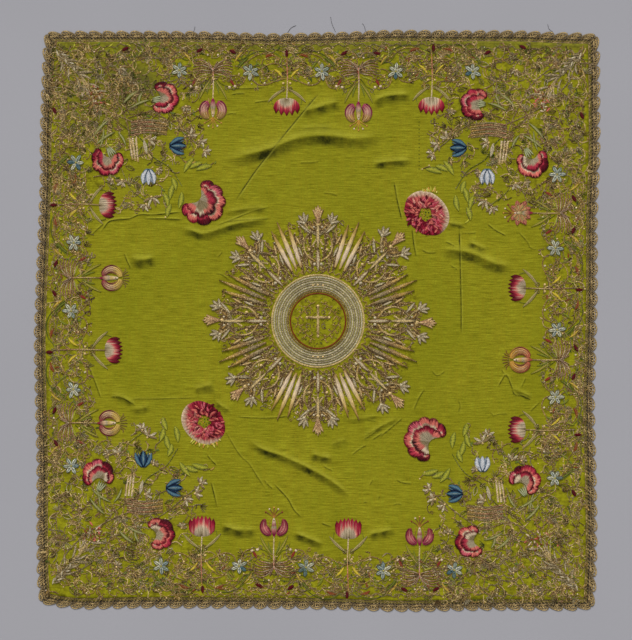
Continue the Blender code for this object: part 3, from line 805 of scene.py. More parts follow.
def iris(x, y, turn, form, colours, base):
    """A fantasy flower: two falls round a small hood, dotted stamens, and a combed palmette at its foot."""
    spot = Spot(x, y, turn)
    outer, body, foot, stamen = colours
    dark, gold = outer * 0.72, foot * 0.72
    for s in (-1, 1):
        if form == "fan":
            for angle, far, width in ((66, 12.5, 7.5), (30, 13.5, 8.0), (-10, 12.5, 7.5), (-48, 10.5, 6.5)):
                end = s * far * math.cos(math.radians(angle)), -far * math.sin(math.radians(angle))
                silks.leaf(spot(0, 0), spot(*end), width, (dark, body, foot), lift=1.0, blunt=0.6)
                silks.leaf(spot(end[0] * 0.6, end[1] * 0.6), spot(*end), width * 0.6, (dark, outer, body),
                           lift=1.25)
                silks.strand(spot(np.array((0.15, 0.5, 0.8))[:, None] * end), 0.9, 1.4, (gold, CREAM, BONE))
            silks.strand(spot(curve(((s * 3, 4), (s * 8, 1), (s * 12, -7)), 8)), 0.9, 1.3, (foot, outer))
            continue
        start, stop, far, widths = FORMS[form]
        a = np.radians(np.linspace(start, stop, 17))
        wide = np.interp(np.linspace(0, 1, 17), np.linspace(0, 1, len(widths)), widths)
        arc = ray(a) * (s, 0.96)
        silks.band(spot(arc * far - (0, 1.5)), widths, 0.9,
                   (outer, outer * 0.5 + body * 0.5, body, body, foot, foot, foot))
        for share, tints in ((-0.46, (dark, dark, PLUM, gold)), (-0.16, (dark, outer, BROWN, gold)),
                             (0.0, (outer, CREAM, CREAM, CREAM, foot)), (0.18, (dark, outer, BROWN, gold)),
                             (0.48, (dark, dark, dark, gold, gold))):
            path = arc * (far + share * wide)[:, None] - (0, 1.5)
            silks.strand(spot(path[1:-1]), 1.6 if abs(share) > 0.4 else 1.3, 1.25, tints)
        silks.strand(spot(curve(((s * 2.5, -8), (s * 5, -3), (s * 3, 5)), 8)), 1.1, 0.8, (BROWN, OCHRE))
    hood = curve(((0, -13.5), (0, -5), (0, 5)), 9)
    silks.band(spot(hood), (1.6, 5.6, 6.4, 5.4, 4.2, 1.6), 1.0, (outer, dark, body, BONE, foot, CREAM, CREAM))
    silks.dot(spot(0, 2.5), 1.3, 1.4, stamen * 0.7)
    if form == "ring":
        for u in np.linspace(-9.5, 9.5, 7):
            path = curve(((u * 0.5, 9.5), (u * 0.8, 12.5), (u, 16.5 - 0.05 * u * u)), 5)
            silks.strand(spot(path), 1.3, 0.7, (BROWN, stamen, BROWN))
    else:
        for u, v, tip in ((-8.2, 11, stamen), (-4.4, 14, CREAM), (0, 15.5, OCHRE), (4.4, 14, CREAM),
                          (8.2, 11, stamen)):
            path = curve(((0, 5), (u * 0.35, v * 0.7), (u, v)), 6)
            silks.strand(spot(path), 1.5, 0.7, (OCHRE, stamen, BROWN))
            silks.dot(spot(u, v), 1.3, 0.8, tip, BROWN)
    upright = turn in (0, 180)
    tints = (PALE_GILT, CREAM, SALMON) if upright else (BROWN, PALE_GILT, PLUM)
    metals.strand(spot(curve(((0, -13), (0.4, -base / 2 - 6), (0, -base)), 12)), 1.8, 1.1, tints)
    for s in (-1, 1):
        for k in range(7):
            path = curve(((s, -base + 0.8 * k), (s * 6, -base - 5 + 1.9 * k), (s * 13, -base - 8 + 2.6 * k),
                          (s * (20 - 0.4 * (k - 2.5) ** 2), -base - 7 + 2.9 * k)), 9)
            metals.strand(spot(path), (1.0, 1.7, 2.0, 1.4), 1.0, (UMBER, PLUM, BROWN, PLUM) if k % 2 else
                          (PLUM, CREAM * 0.8, PLUM, GREY))
        for k in range(2):
            path = curve(((0, -base + 3), (s * (2 + 2 * k), -base - 2),
                          (s * (4.5 + 3.4 * k), -base - 6.5 + 2.4 * k)), 6)
            metals.strand(spot(path), 1.2, 1.4, (CREAM, PLUM))
        shell(s, spot, s * 20, -base + 15, CREAM if upright else GREY)
    scrolls(spot, IRIS_SCROLLS)


# The falls' first and last angles, their radius and their widths.
FORMS = {"bell": (-62, 64, 9.2, (6.0, 8.4, 8.8, 8.2, 6.0, 2)),
         "cup": (-74, 34, 10.4, (3.5, 7, 8.6, 7.6, 5.4, 1.6)),
         "ring": (-76, 82, 9.2, (4.4, 6.4, 7, 7, 6.6, 5))}


def shell(s, spot, u, v, pearl):
    """A scrolled shell beside a palmette: looped purl round a scrap of red silk, with two pearls."""
    for k in range(6):
        middle = (u, v) + ray(math.radians(200 + s * 20 + k * 45)) * (5.6, 4.8)
        loop = middle + ray(np.linspace(0, 5.6, 9)) * (2.2, 2.0)
        metals.strand(spot(loop), 1.1, 0.9, (GREY, BROWN) if k % 2 else (BROWN, GILT))
    silks.leaf(spot(u - s * 3, v - 4), spot(u + s * 1, v + 3), 3.4, (EMBER, CRIMSON, EMBER), lift=0.7)
    metals.dot(spot(u - s * 3.5, v + 4.5), 2.0, 1.1, pearl, GREY)
    metals.dot(spot(u + s * 2, v + 3.5), 2.0, 1.1, pearl, BROWN)


def star(x, y, turn, seed):
    """A star flower of six pale petals with shaded edges, and a yellow knot."""
    spot, dice = Spot(x, y, turn), np.random.default_rng(seed)
    bodies = (rgb(228, 222, 190), rgb(194, 194, 170), rgb(210, 208, 178), rgb(166, 174, 158), rgb(98, 122, 122))
    for k in range(6):
        a = math.radians(30 + 60 * k + dice.uniform(-9, 9))
        end = dice.uniform(7.4, 9.4) * ray(a)
        body = bodies[dice.choice(5, p=(0.3, 0.25, 0.2, 0.15, 0.1))]
        edge = pick(dice, (rgb(88, 96, 76), rgb(54, 80, 90), rgb(104, 104, 84)))
        silks.leaf(spot(ray(a)), spot(end), 4.7, (edge * 0.7, body, edge), lift=1.0, blunt=0.6)
        for way in (-1, 1):
            belly = 0.66 * end + way * 2.1 * ray(a + math.pi / 2)
            silks.strand(spot(curve((0.3 * end, belly, end), 6)), 0.8, 1.25, (edge, edge * 0.8))
    silks.dot(spot(0, 0), 1.5, 1.2, LEMON * 0.6, OLIVE)


def tendril(x, y, turn, size, dice):
    """A long winding stem with a spiral at each end and a few little leaves in pairs."""
    spot = Spot(x, y, turn, size, flip=dice.choice((-1, 1)))
    stem = curve(((-10, 1), (-5, -2.5), (0, 0), (5, 2.5), (10, -1)), 12)
    tint = pick(dice, METAL_TINTS)
    metals.strand(spot(stem), 1.5, 0.9, (tint, BROWN, tint))
    curl(metals, spot, 10, -1, -70, dice.uniform(2.6, 4.4), -0.9, 1.3, (tint, BROWN))
    curl(metals, spot, -10, 1, 110, dice.uniform(2.6, 4.4), -0.9, 1.3, (tint, GREY))
    for k in (2, 5, 8):
        tints = pick(dice, LEAF_TINTS) if dice.random() < 0.3 else (UMBER, GREY, tint)
        for s in (-1, 1):
            work = silks if len(tints) == 2 else metals
            tip = stem[k] + (dice.uniform(2.5, 4.5), s * dice.uniform(2, 3.6))
            work.leaf(spot(stem[k]), spot(tip), 1.7, tints, rows=5)


def plume(x, y, turn, size, dice):
    """A head of fine stitches spread from one point, as in grass."""
    spot = Spot(x, y, turn, size)
    tints = pick(dice, ((UMBER, GREY), (UMBER, BROWN), (GREY, SILVER), (MOSS, OLIVE)))
    for k in range(6):
        way = ray(math.radians(-40 + 16 * k + dice.uniform(-4, 4)))
        far = dice.uniform(6, 9.5)
        metals.strand(spot(np.array((1.5 * way, 0.6 * far * way, far * way + (0, 0.06 * k)))), 0.9, 0.8, tints)


def open_leaf(x, y, turn, size, dice):
    """A leaf drawn only by its outline, in pale thread round a darker vein."""
    spot = Spot(x, y, turn, size)
    tint = pick(dice, (SILVER, PALE_GILT, GREY, GREY, BROWN))
    for s in (-1, 1):
        rim = curve(((-5, 0), (-1, s * 2.1), (2.5, s * 1.7), (5.5, 0)), 7)
        metals.strand(spot(rim), 0.9, 0.8, (UMBER, tint, tint))
    silks.leaf(spot(-4, 0), spot(4, 0), 1.8, (UMBER, MOSS), lift=0.4, rows=5)


def tulip(x, y, turn, dark):
    """A small tulip: a dark bell with a saw edge towards u, and three outlined petals laid over it."""
    spot = Spot(x, y, turn)
    if dark:
        body, pale, heart, deep = rgb(50, 84, 106), rgb(92, 122, 132), rgb(138, 150, 142), NAVY * 0.85
    else:
        body, pale, heart, deep = rgb(176, 180, 182), rgb(204, 202, 204), WHITE * 0.9, rgb(36, 72, 98)
    flare = 1.5 if dark else 0.0
    side, s = np.linspace(-1, 1, 21), np.linspace(0, 1, 7)[:, None]
    tooth = np.abs((side * 2.5 + 0.5) % 1 - 0.5) * 2
    u = -8.4 + (16.2 - flare - 1.6 * side ** 2 - 2.6 * tooth) * s
    v = (7.9 - 0.8 * flare) * side * (0.2 + 0.8 * np.sin(0.5 * math.pi * s ** 0.8) ** 0.8)
    lifts = np.full((7, 21), 0.8)
    lifts[-1] = lifts[0] = lifts[:, 0] = lifts[:, -1] = SINK
    silks.grid(spot(np.stack([u, v], -1)), lifts, blend(deep, body, 0.35 * (tooth < 0.5) * np.ones_like(s)),
               np.stack([v, u], -1))
    for k in (-1, 1):
        tip = (7.2, k * (5.6 + 1.6 * flare))
        silks.leaf(spot(-6.6, k * 1.6), spot(*tip), 6.4 - 0.6 * flare, (deep, body, pale), bend=-k * 1.6,
                   lift=1.15, blunt=0.6)
        silks.leaf(spot(1.5, k * 3.2), spot(tip[0], 0.7 * tip[1]), 2.2, (deep, pale), lift=1.3, rows=5)
    silks.leaf(spot(-5.8, 0), spot(8.4 + 0.6 * flare, 0), 7.0 - 0.8 * flare, (deep, body, pale), lift=1.4,
               blunt=0.7)
    for k in (-1, 1):
        rim = curve(((-7.2, 0), (-2.0, k * 2.9), (2.4, k * 3.9), (8.4, k * (1.2 if dark else 4.6))), 8)
        silks.strand(spot(rim), (0.9, 1.4, 1.4, 0.9), 1.7, (deep, deep, deep))
    silks.leaf(spot(-3.5, 0), spot(4.5, 0), 2.6, (heart, heart), lift=1.6, rows=5)


def curl(work, spot, u, v, start, radius, turns, width, tints):
    """A spiral that winds in from radius, beginning at u, v."""
    a = np.linspace(0, turns * 2 * math.pi, max(8, round(11 * abs(turns))))
    r = radius * (1 - 0.75 * np.abs(a) / max(np.abs(a).max(), 1e-6))
    places = r[:, None] * ray(math.radians(start) + a)
    work.strand(spot(places - places[0] + (u, v)), width, 0.7, tints)


METAL_TINTS = (BROWN, GILT, PALE_GILT, UMBER, rgb(142, 106, 72), GREY, rgb(152, 132, 98), PALE_GILT)
SHADOW = (UMBER, BROWN * 0.7, UMBER)  # of the low leaves that darken the ground of the metal work
LEAF_TINTS = ((MOSS, OLIVE), (OLIVE, SPRING), (MOSS, FERN), (UMBER, OLIVE), (OLIVE, GILT), (MOSS, MOSS))


def sprig(x, y, turn, size, dice):
    """A filling scroll: a curved stem that winds into a curl, with a few little leaves and a knot."""
    spot = Spot(x, y, turn, size, flip=dice.choice((-1, 1)))
    bend = dice.uniform(2.0, 4.5)
    stem = curve(((-7, -1), (-2, bend), (4, bend * 0.6), (7, -1.5)), 9)
    tint = pick(dice, METAL_TINTS)
    width, middle = dice.uniform(1.1, 1.6), PALE_GILT if dice.random() < 0.3 else tint
    metals.strand(spot(stem), width, 0.8, (tint, middle, BROWN))
    for _ in range(dice.integers(1, 4)):
        at = stem[dice.integers(0, 8)]
        way = ray(math.radians(dice.uniform(20, 65) * dice.choice((-1, 1))))
        tip = at + dice.uniform(3.4, 6.4) * way
        if dice.random() < 0.25:
            tints = pick(dice, LEAF_TINTS)
            silks.leaf(spot(at), spot(tip), dice.uniform(1.6, 2.4), tints, lift=0.6, rows=5)
        else:
            tints = UMBER, pick(dice, METAL_TINTS)
            metals.leaf(spot(at), spot(tip), dice.uniform(1.5, 2.4), tints, lift=0.8, rows=5)
    if dice.random() < 0.85:
        curl(metals, spot, 7, -1.5, 60, dice.uniform(2.0, 3.2), dice.uniform(0.7, 1.15), 1.0, (tint, GILT))
    for _ in range(dice.integers(0, 2)):
        at = dice.uniform(-5, 5, 2)
        metals.dot(spot(at), dice.uniform(0.7, 1.2), 0.9, pick(dice, (PALE_GILT, SILVER, GILT, CREAM)), UMBER)


VINE_STEP, VINE_SIZE = 6.0, 0.85


def vine(points, dice, silk_share=0.5):
    """A waving cord along chart points, with a leaf, curl or knot on alternate sides."""
    line = curve(points, max(4, round(length_of(points) / VINE_STEP) + 1))
    side = left_of(line)
    wave = np.where(np.arange(len(line)) % 2, 1.0, -1.0)[:, None] * 1.6 * VINE_SIZE
    fine = curve(line + side * wave, 4 * len(line))
    metals.strand(chart(fine), 1.6 * VINE_SIZE, 0.8, (GILT, BROWN, GREY, BROWN))
    for k, place in enumerate(line):
        spot = Spot(*place, math.degrees(math.atan2(-side[k, 0], side[k, 1])), VINE_SIZE)
        s = 1 if k % 2 else -1
        kind = dice.random()
        if kind < silk_share:
            tints = pick(dice, LEAF_TINTS)
            silks.leaf(spot(0, 0), spot(dice.uniform(3, 6), s * dice.uniform(3, 5.5)), 2.4, tints, bend=s * 0.5)
        elif kind < 0.85:
            curl(metals, spot, 0, 0, dice.uniform(0, 360), dice.uniform(2.6, 4.2), s * 0.9, 1.2, (GREY, GILT))
        else:
            metals.dot(spot(1, s * 3), 1.2, 0.8, PALE_GILT, UMBER)


def cluster(x, y, turn, size, dice, pale=False):
    """A tuft of five metal-thread lobes with a bright middle."""
    spot = Spot(x, y, turn, size)
    for k in range(5):
        tip = 7.5 * ray(math.radians(-80 + 40 * k + dice.uniform(-8, 8)))
        tints = (UMBER, SILVER if pale else GREY, SILVER) if k % 2 else (UMBER, GREY, BROWN)
        metals.leaf(spot(0, 0), spot(tip), 3.4, tints, bend=dice.uniform(-1, 1), lift=1.0, blunt=0.6)
        metals.strand(spot(np.array(((1, 0), 0.8 * tip))), 0.8, 1.1, (PALE_GILT, GILT))
    metals.dot(spot(-1, 0), 1.6, 1.2, PALE_GILT, BROWN)


def medallion():
    """The round middle: a plain cross on green, couched rings, scroll work, rays and eight lily heads."""
    dice = np.random.default_rng(31)

    def at(r, turn):
        return chart(MEDALLION + np.asarray(r)[..., None] * ray(np.radians(turn)))

    def wire(places, rows, width, lift, tints):
        """A thread of the point at `middle`, on its side s, through places given by radius and turn."""
        metals.strand(curve(np.array([at(r, middle + s * a) for r, a in places]), rows), width, lift, tints)

    full = np.linspace(0, 360, 121)
    silks.band(at(27.6, full), 1.9, 0.5, rgb(112, 50, 20))
    for r, tint in ((30, BROWN), (32.3, BONE), (34.6, SILVER), (36.9, BONE), (39.2, SILVER), (41.5, BONE),
                    (43.8, SILVER), (46, PALE_GILT)):
        metals.strand(at(r, full), 2.5, 1.0, (tint, tint * 0.85) * 12)
    for turn in (-98, -90, -82, 82, 90, 98):
        metals.dot(at(36, turn), 1.7, 1.5, PALE_GILT, UMBER)
    cross_and_leaves(dice)
    wavy = np.linspace(0, 360, 289)
    metals.strand(at(50.5 + 1.6 * np.sin(np.radians(wavy * 48)), wavy), 1.6, 0.9, (BROWN, GILT) * 20)
    for k in range(8):
        middle = 45 * k
        for off in (-17, -12, -6, 0, 6, 12, 17):
            far = 100 - abs(off) * 0.55
            for a, b in ((50, 76), (74, far)):
                metals.leaf(at(a, middle + off), at(b, middle + off * 0.9), 6.4, SHADOW, lift=0.35)
        for s in (-1, 1):
            wire(((60, 3), (68, 10), (80, 10), (90, 4), (84, 0.5), (76, 4)), 22, 2.6, 1.3,
                 (GILT, PALE_GILT, BROWN, GREY, PALE_GILT))
            wire(((56, 15), (66, 18), (78, 16.5), (88, 11), (97, 11), (99, 5)), 22, 2.0, 1.2,
                 (BROWN, GILT, BROWN))
            wire(((52, 6.5), (58, 12), (64, 9), (61, 4.5)), 14, 2.0, 1.2, (GREY, GILT))
            for base, tip, width, tints in (((88, 5), (99, 11), 4.2, (UMBER, GREY, SILVER)),
                                            ((66, 13.5), (77, 15), 3.8, (UMBER, GREY, SILVER)),
                                            ((78, 13), (88, 15), 3.8, (UMBER, BROWN, PALE_GILT))):
                metals.leaf(at(base[0], middle + s * base[1]), at(tip[0], middle + s * tip[1]), width, tints,
                            lift=1.2)
            for r, off, size, tint in ((57, 3.3, 2.2, SILVER), (94, 2.5, 1.7, SILVER), (72, 7, 2.0, PALE_GILT)):
                metals.dot(at(r, middle + s * off), size, 1.5, tint, UMBER)
        metals.leaf(at(50, middle), at(71, middle), 6.2, (UMBER, BROWN, SILVER), lift=1.4)
        metals.leaf(at(73, middle), at(98, middle), 5.4, (UMBER, GREY, PALE_GILT), lift=1.4)
    for _ in range(1150):
        r, turn = math.sqrt(dice.uniform(49 ** 2, 101 ** 2)), dice.uniform(0, 360)
        off = abs(((turn + 22.5) % 45) - 22.5)
        if off > 18.5 and (r > 92 or dice.random() < 0.6):
            continue
        spot = Spot(*(MEDALLION + r * ray(math.radians(turn))), dice.uniform(0, 360))
        tint = pick(dice, (BROWN, GREY, GILT, GILT, BROWN, PALE_GILT))
        kind = dice.random()
        if kind < 0.5:
            curl(metals, spot, 0, 0, dice.uniform(0, 360), dice.uniform(1.8, 3.4), dice.choice((-1, 1)) * 0.9,
                 1.3, (tint, UMBER))
        elif kind < 0.8:
            metals.leaf(spot(0, 0), spot(dice.uniform(3, 5.5), 0), 2.2, (UMBER, tint, tint), rows=5, lift=1.0)
        elif kind < 0.9:
            silks.leaf(spot(0, 0), spot(dice.uniform(2.5, 4), 0), 2.6, (MOSS, SPRING * 0.7, OLIVE), lift=1.0)
        else:
            metals.dot(spot(0, 0), dice.uniform(0.9, 1.4), 1.2, pick(dice, (PALE_GILT, SILVER, CREAM)), UMBER)
    rays(at)
    for turn, r in ((-90, 105), (-45.6, 113), (1, 108), (45.3, 111), (90, 104), (138.1, 107), (180.5, 105),
                    (226, 107)):
        lily(*(MEDALLION + r * ray(math.radians(turn))), turn, dice)


def rays(at):
    """Eight bundles of three pointed rays; those nearer upright are brighter, a painted reflection in pale silk.
    """
    for k in range(8):
        middle = 22.5 + 45 * k
        # painted reflection: rays nearer upright are laid in pale silk instead of darker metal thread
        bright = abs(math.sin(math.radians(middle))) > 0.7
        for off, far in ((-5.0, 101), (0, 107), (5.0, 101)):
            tints = (BROWN, GREY, BROWN, GILT, UMBER)
            if bright:
                tints = (GILT, CREAM, CREAM, PALE_GILT, GILT, BROWN)
            path = np.array([at(r, middle + off) for r in np.linspace(56, far, 9)])
            (silks if bright else metals).band(path, (2.2, 4.8, 5.0, 3.8, 0.8), 1.7, tints)


def lily(x, y, turn, dice):
    """A lily head of three upright petals between two curled side lobes, on a scrolled foot."""
    spot = Spot(x, y, turn)
    warm = (UMBER, rgb(158, 116, 84), PALE_GILT)
    for v in (-8, -4, 0, 4, 8):
        metals.leaf(spot(-19, v * 0.8), spot(-4 - abs(v) * 0.3, v), 6.0, SHADOW, lift=0.35)
    for s in (-1, 1):
        metals.leaf(spot(-16, s * 5), spot(-3, s * 15), 7.0, SHADOW, lift=0.35)
    for v, far, bend in ((-5.2, 6.5, -1.6), (5.2, 6.5, 1.6), (-2.4, 8.8, -0.6), (2.4, 8.8, 0.6), (0, 10.5, 0)):
        metals.leaf(spot(-8, 0), spot(far, v), 4.8, warm, bend=bend, lift=1.5, blunt=0.6)
    for s in (-1, 1):
        arm = curve(((-19, s * 2), (-14, s * 9), (-8, s * 13), (-3, s * 16)), 10)
        metals.strand(spot(arm), 2.4, 1.3, (GREY, PALE_GILT))
        for tip, width in (((0.5, 19.5), 4.8), ((3.5, 14.5), 4.8), ((-5.5, 21.5), 4.4), ((1.5, 10), 4.0)):
            metals.leaf(spot(-7, s * 13), spot(tip[0], s * tip[1]), width, (UMBER, GREY, SILVER * 0.84),
                        lift=1.4, blunt=0.6)
        metals.dot(spot(-7, s * 14), 2.4, 1.7, SILVER, UMBER)
        curl(metals, spot, -10, s * 6, 90, 4.2, s * 1.1, 1.8, (BROWN, GILT))
        metals.leaf(spot(-14, s * 4), spot(-9, s * 9), 3.2, (UMBER, BROWN, GILT), lift=1.2)
    metals.dot(spot(-9, 0), 2.6, 1.8, PALE_GILT, BROWN)
    for _ in range(20):
        u, v = dice.uniform(-18, -5), dice.uniform(-11, 11)
        curl(metals, spot, u, v, dice.uniform(0, 360), 2.3, 0.9, 1.3, (GILT, BROWN, UMBER))


def cross_and_leaves(dice):
    """A plain cross of couched thread between four leafy sprays, on bare silk."""
    spot = Spot(*MEDALLION)
    for a, b in (((0, -15), (0, 15)), ((-11, -3.5), (11, -3.5))):
        metals.strand(spot(curve((a, b), 12)), 3.4, 1.4, (BROWN, PALE_GILT, BROWN))
        for end in (a, b):
            metals.dot(spot(*end), 2.0, 1.5, PALE_GILT, UMBER)
    for sx in (-1, 1):
        for sy in (-1, 1):
            stem = curve(((sx * 3, sy * 19), (sx * 10, sy * 15), (sx * 17, sy * 7), (sx * 21, sy * 1)), 16)
            metals.strand(spot(stem), 1.3, 0.8, (GILT, BROWN))
            for k in range(2, 15, 2):
                tip = stem[k] + np.array((sx, sy)) * (3.2 if k % 4 else -4.0) + (0, 1.5)
                metals.leaf(spot(stem[k]), spot(tip), 2.2, (UMBER, BROWN, GILT), rows=5, lift=0.9)
            curl(metals, spot, sx * 8, sy * 7, 45, 3.0, sx * 1.1, 1.2, (BROWN, GREY))
    for _ in range(150):
        r, turn = math.sqrt(dice.uniform(0, 25 ** 2)), dice.uniform(0, 2 * math.pi)
        at = r * ray(turn)
        metals.leaf(spot(at), spot(at + dice.uniform(-2.5, 2.5, 2)), 1.3,
                    (UMBER, BROWN, pick(dice, (MOSS, BROWN, GILT))), rows=5, lift=0.6)


def mirror(corner, x, y, turn=0.0):
    """A place and turn of the upper left corner's pattern carried to another corner."""
    if corner == "upper_right":
        return 637.5 - x, y + 3, 180 - turn
    if corner == "lower_left":
        return x - 4, 634 - y, -turn
    if corner == "lower_right":
        return 634 - x, 640 - y, 180 + turn
    return x, y, turn


def corner_spray(corner, seed):
    """The branching spray that fills a corner, drawn for the upper left one."""
    dice = np.random.default_rng(seed)
    handed = -1 if corner in ("upper_right", "lower_left") else 1

    def go(x, y):
        return np.array(mirror(corner, x, y)[:2])

    def put(points, width, tints):
        line = curve([go(*p) for p in points], max(6, round(length_of(points) / 2.2)))
        metals.strand(chart(line), width, 0.9, tints)

    def blade(base, tip, width, tints, bend=0.0, lift=0.8, work=silks):
        work.leaf(chart(go(*base)), chart(go(*tip)), width, tints, bend=bend * handed, lift=lift)

    put(((58, 54), (67, 63), (76, 72), (88, 85), (99, 98)), 2.2, (SILVER, GREY, BROWN))
    put(((60, 57), (70, 80), (88, 98), (110, 112), (140, 124), (165, 126)), 1.8, (GREY, BROWN))
    put(((60, 57), (84, 64), (104, 80), (118, 102), (128, 126), (130, 150)), 1.8, (GREY, BROWN))
    put(((100, 100), (118, 122), (140, 138), (152, 156), (170, 168), (182, 186)), 1.3, (BROWN, MOSS, OLIVE))
    put(((128, 118), (150, 112), (170, 122), (190, 138), (205, 150)), 1.5, (BROWN, GREY))
    put(((110, 124), (106, 148), (120, 166), (130, 188), (150, 204)), 1.3, (BROWN, OLIVE))
    for base, tip in (((62, 58), (70, 56)), ((66, 60), (78, 62)), ((62, 62), (60, 72)), ((70, 66), (84, 70)),
                      ((68, 68), (68, 80)), ((78, 74), (92, 80)), ((76, 76), (80, 90)), ((88, 84), (100, 88)),
                      ((84, 86), (90, 98)), ((94, 92), (108, 92)), ((92, 95), (94, 108))):
        blade(base, tip, 3.2, (UMBER, GREY, (GREY + SILVER) * 0.5), bend=1.0, lift=0.8, work=metals)
    for k in range(15):
        p, lean = np.array((56.5, 49.5)) + 1.45 * k, (-1) ** k
        reach = 4.6 - 0.16 * k
        tint = (SILVER * 0.9, GREY, GREY * 0.8)[k % 3]
        tip = p + reach * np.array((1 - 0.55 * lean, 1 + 0.55 * lean))
        blade(p, tip, 2.4, (UMBER * 0.6, tint, tint), lift=1.1, work=metals)
    blade((77, 72.5), (94, 72), 4.2, (UMBER, GREY * 0.85, GREY), lift=0.9, work=metals)
    for k in range(4):
        put(((81, 75), (84 + 1.2 * k, 84), (84 + 3.4 * k, 96 - k)), 1.7, (GREY, PALE_GILT, CREAM * 0.8))
    for _ in range(26):
        p = np.array((96, 100)) + dice.normal(0, 5, 2)
        tint = pick(dice, (EMBER, EMBER, CREAM, SALMON, GILT))
        blade(p, p + dice.uniform(-5, 5, 2), 2.2, (UMBER, tint, tint), lift=0.8)
    for base, tip, width in (((123, 104), (138, 91), 3.6), ((139, 103), (143, 92), 3.2),
                             ((94, 136), (109, 120), 3.6), ((96, 145), (115, 132), 3.4),
                             ((118, 132), (126, 146), 3.0), ((131, 108), (150, 100), 3.0),
                             ((104, 128), (100, 148), 2.6)):
        blade(base, tip, width + 1.0, (MOSS * 0.4, OLIVE * 0.85, (SILVER + OLIVE) * 0.5), bend=1.2, lift=0.9)
    for k in range(7):
        y = 121 + 2.1 * k
        put(((131, y + 1.5), (147, y - 1), (167, y + 1)), 2.5,
            (GREY, PLUM, GILT) if k % 2 else (PLUM * 1.1, GREY, BROWN))
    for k in range(3):
        put(((129.5 + k * 3.2, 138), (131 + k * 3.0, 149), (133 + k * 2.6, 160 + k)), 2.9,
            (CREAM, PALE_GILT, CREAM * 0.95, GILT))
    blade((144, 140), (147, 154), 4.6, (GREY, SILVER, BONE), lift=1.0)
    for x, y, turn, size in ((190, 135, -40, 1.0), (200, 141, 20, 1.0), (205, 151, 30, 0.9),
                             (186, 107, 80, 0.7), (152, 198, 70, 1.25), (146, 205, 110, 0.9),
                             (122, 181, 100, 0.9), (158, 170, 45, 0.7), (121, 68, 70, 0.8),
                             (112, 180, 150, 0.7), (150, 140, 10, 1.0)):
        cluster(*mirror(corner, x, y, turn), size, dice, pale=size >= 0.9)
    for base, tip in (((184, 172), (194, 158)), ((190, 168), (202, 163)), ((170, 199), (174, 184)),
                      ((164, 193), (168, 206)), ((182, 192), (179, 208)), ((167, 217), (171, 204)),
                      ((172, 178), (176, 190)), ((196, 170), (212, 166))):
        blade(base, tip, 7.4, (MOSS * 0.55, OLIVE * 1.1, SPRING * 0.9), bend=0.9, lift=0.9)
    for route in (((60, 60), (78, 50), (104, 52), (128, 60), (150, 52), (172, 58)),
                  ((60, 60), (52, 80), (56, 104), (64, 130), (56, 152), (62, 176)),
                  ((62, 52), (84, 45), (108, 47), (132, 44), (156, 47), (174, 46)),
                  ((84, 60), (100, 66), (120, 80), (132, 92)), ((62, 84), (68, 102), (82, 120), (94, 132)),
                  ((140, 120), (158, 108), (176, 118), (182, 132)),
                  ((118, 140), (104, 160), (116, 180), (130, 184)),
                  ((170, 150), (184, 160), (200, 166), (214, 164)),
                  ((150, 168), (160, 186), (166, 204), (168, 216)),
                  ((186, 110), (198, 112), (208, 104)), ((110, 186), (112, 198), (104, 206))):
        vine([go(*p) for p in route], dice)
    count = 0
    while count < (FULLEST if corner == "upper_left" else FULL):
        p = dice.uniform((53, 46 if "upper" in corner else 40), (208, 212))
        depth = (p[0] - 46) + (p[1] - 42)
        if depth > 258 or not clear_of_heads(go(*p)):
            continue
        if depth > 150 and dice.random() < 0.5:
            continue
        x, y = go(*p)
        fill = (sprig, tendril, plume, open_leaf)[dice.choice(4, p=(0.46, 0.22, 0.18, 0.14))]
        fill(x, y, dice.uniform(0, 360), dice.uniform(0.75, 1.1), dice)
        count += 1


FULLEST, FULL = 430, 350  # filling motifs in the upper left corner and in the others
HEADS = []  # the large motifs' places and radii, which the filling leaves clear


def clear_of_heads(place):
    """Whether a chart place lies outside all the large motifs."""
    return all(math.hypot(place[0] - x, place[1] - y) > r for x, y, r in HEADS)


# Where the motifs stand on the chart and how they turn; for pinks and irises also the length of the stem.
PINKS = ((286.7, 107, 0, 53), (431.4, 106, 0, 58), (517, 288, 90, 62), (516.7, 429.6, 90, 61),
         (348.3, 530.2, 180, 65), (202, 527.8, 180, 61), (113.7, 350.2, 270, 64), (108, 205, 270, 54))
IRISES = ((213, 112, 0, 44), (358.5, 115, 0, 47), (519, 213, 90, 44), (518.5, 359.8, 90, 44),
          (419.6, 532.2, 180, 46), (274, 523, 180, 46), (111, 423, 270, 45), (113.3, 278, 270, 45))
STARS = ((179.6, 70.4, 0), (250.6, 71.8, 0), (322, 71.7, 0), (395.7, 71.8, 0), (472.6, 71.8, 0),
         (557, 174.5, 90), (555.3, 248, 90), (556.9, 329.8, 90), (555.3, 397.1, 90), (554.9, 478.2, 90), (454.2, 570, 180),
         (383.4, 570.6, 180), (306, 567.3, 180), (239.2, 566, 180), (161.2, 566, 180), (71.4, 466, 270),
         (73.5, 389.4, 270), (71.4, 311.2, 270), (73.9, 242.9, 270), (76, 162.7, 270))
CARNATIONS = ((166, 98, 5), (107, 163, 100), (473, 104, 190), (533, 165, 80), (98, 472, 265), (162, 533, 350),
              (526, 478, 300), (468, 542, 170))
# Carnations with their radius, the number of petals where it differs, and their seed.
LARGE_CARNATIONS = ((206, 205, 39, 21.5, 7, 70), (423, 437, 215, 21, 7, 71))
FULL_CARNATIONS = ((427, 213, 315, 22.6, 72), (203, 423, 135, 22, 73))
# The green cups under the small carnations.
CALYXES = ((111, 152, 60), (528, 153, 60), (101, 486, -60), (523, 491, 240), (158, 100, 0), (480, 104, 180))
# Tulips, and whether they are dark.
TULIPS = ((177, 146, 0, True), (148.6, 176.5, 90, False), (459, 148, 180, True), (487, 176.5, 90, False),
          (143.5, 459.8, 270, True), (173.5, 487.8, 0, True), (482.4, 464.5, 270, False),
          (455.5, 493.5, 180, True))
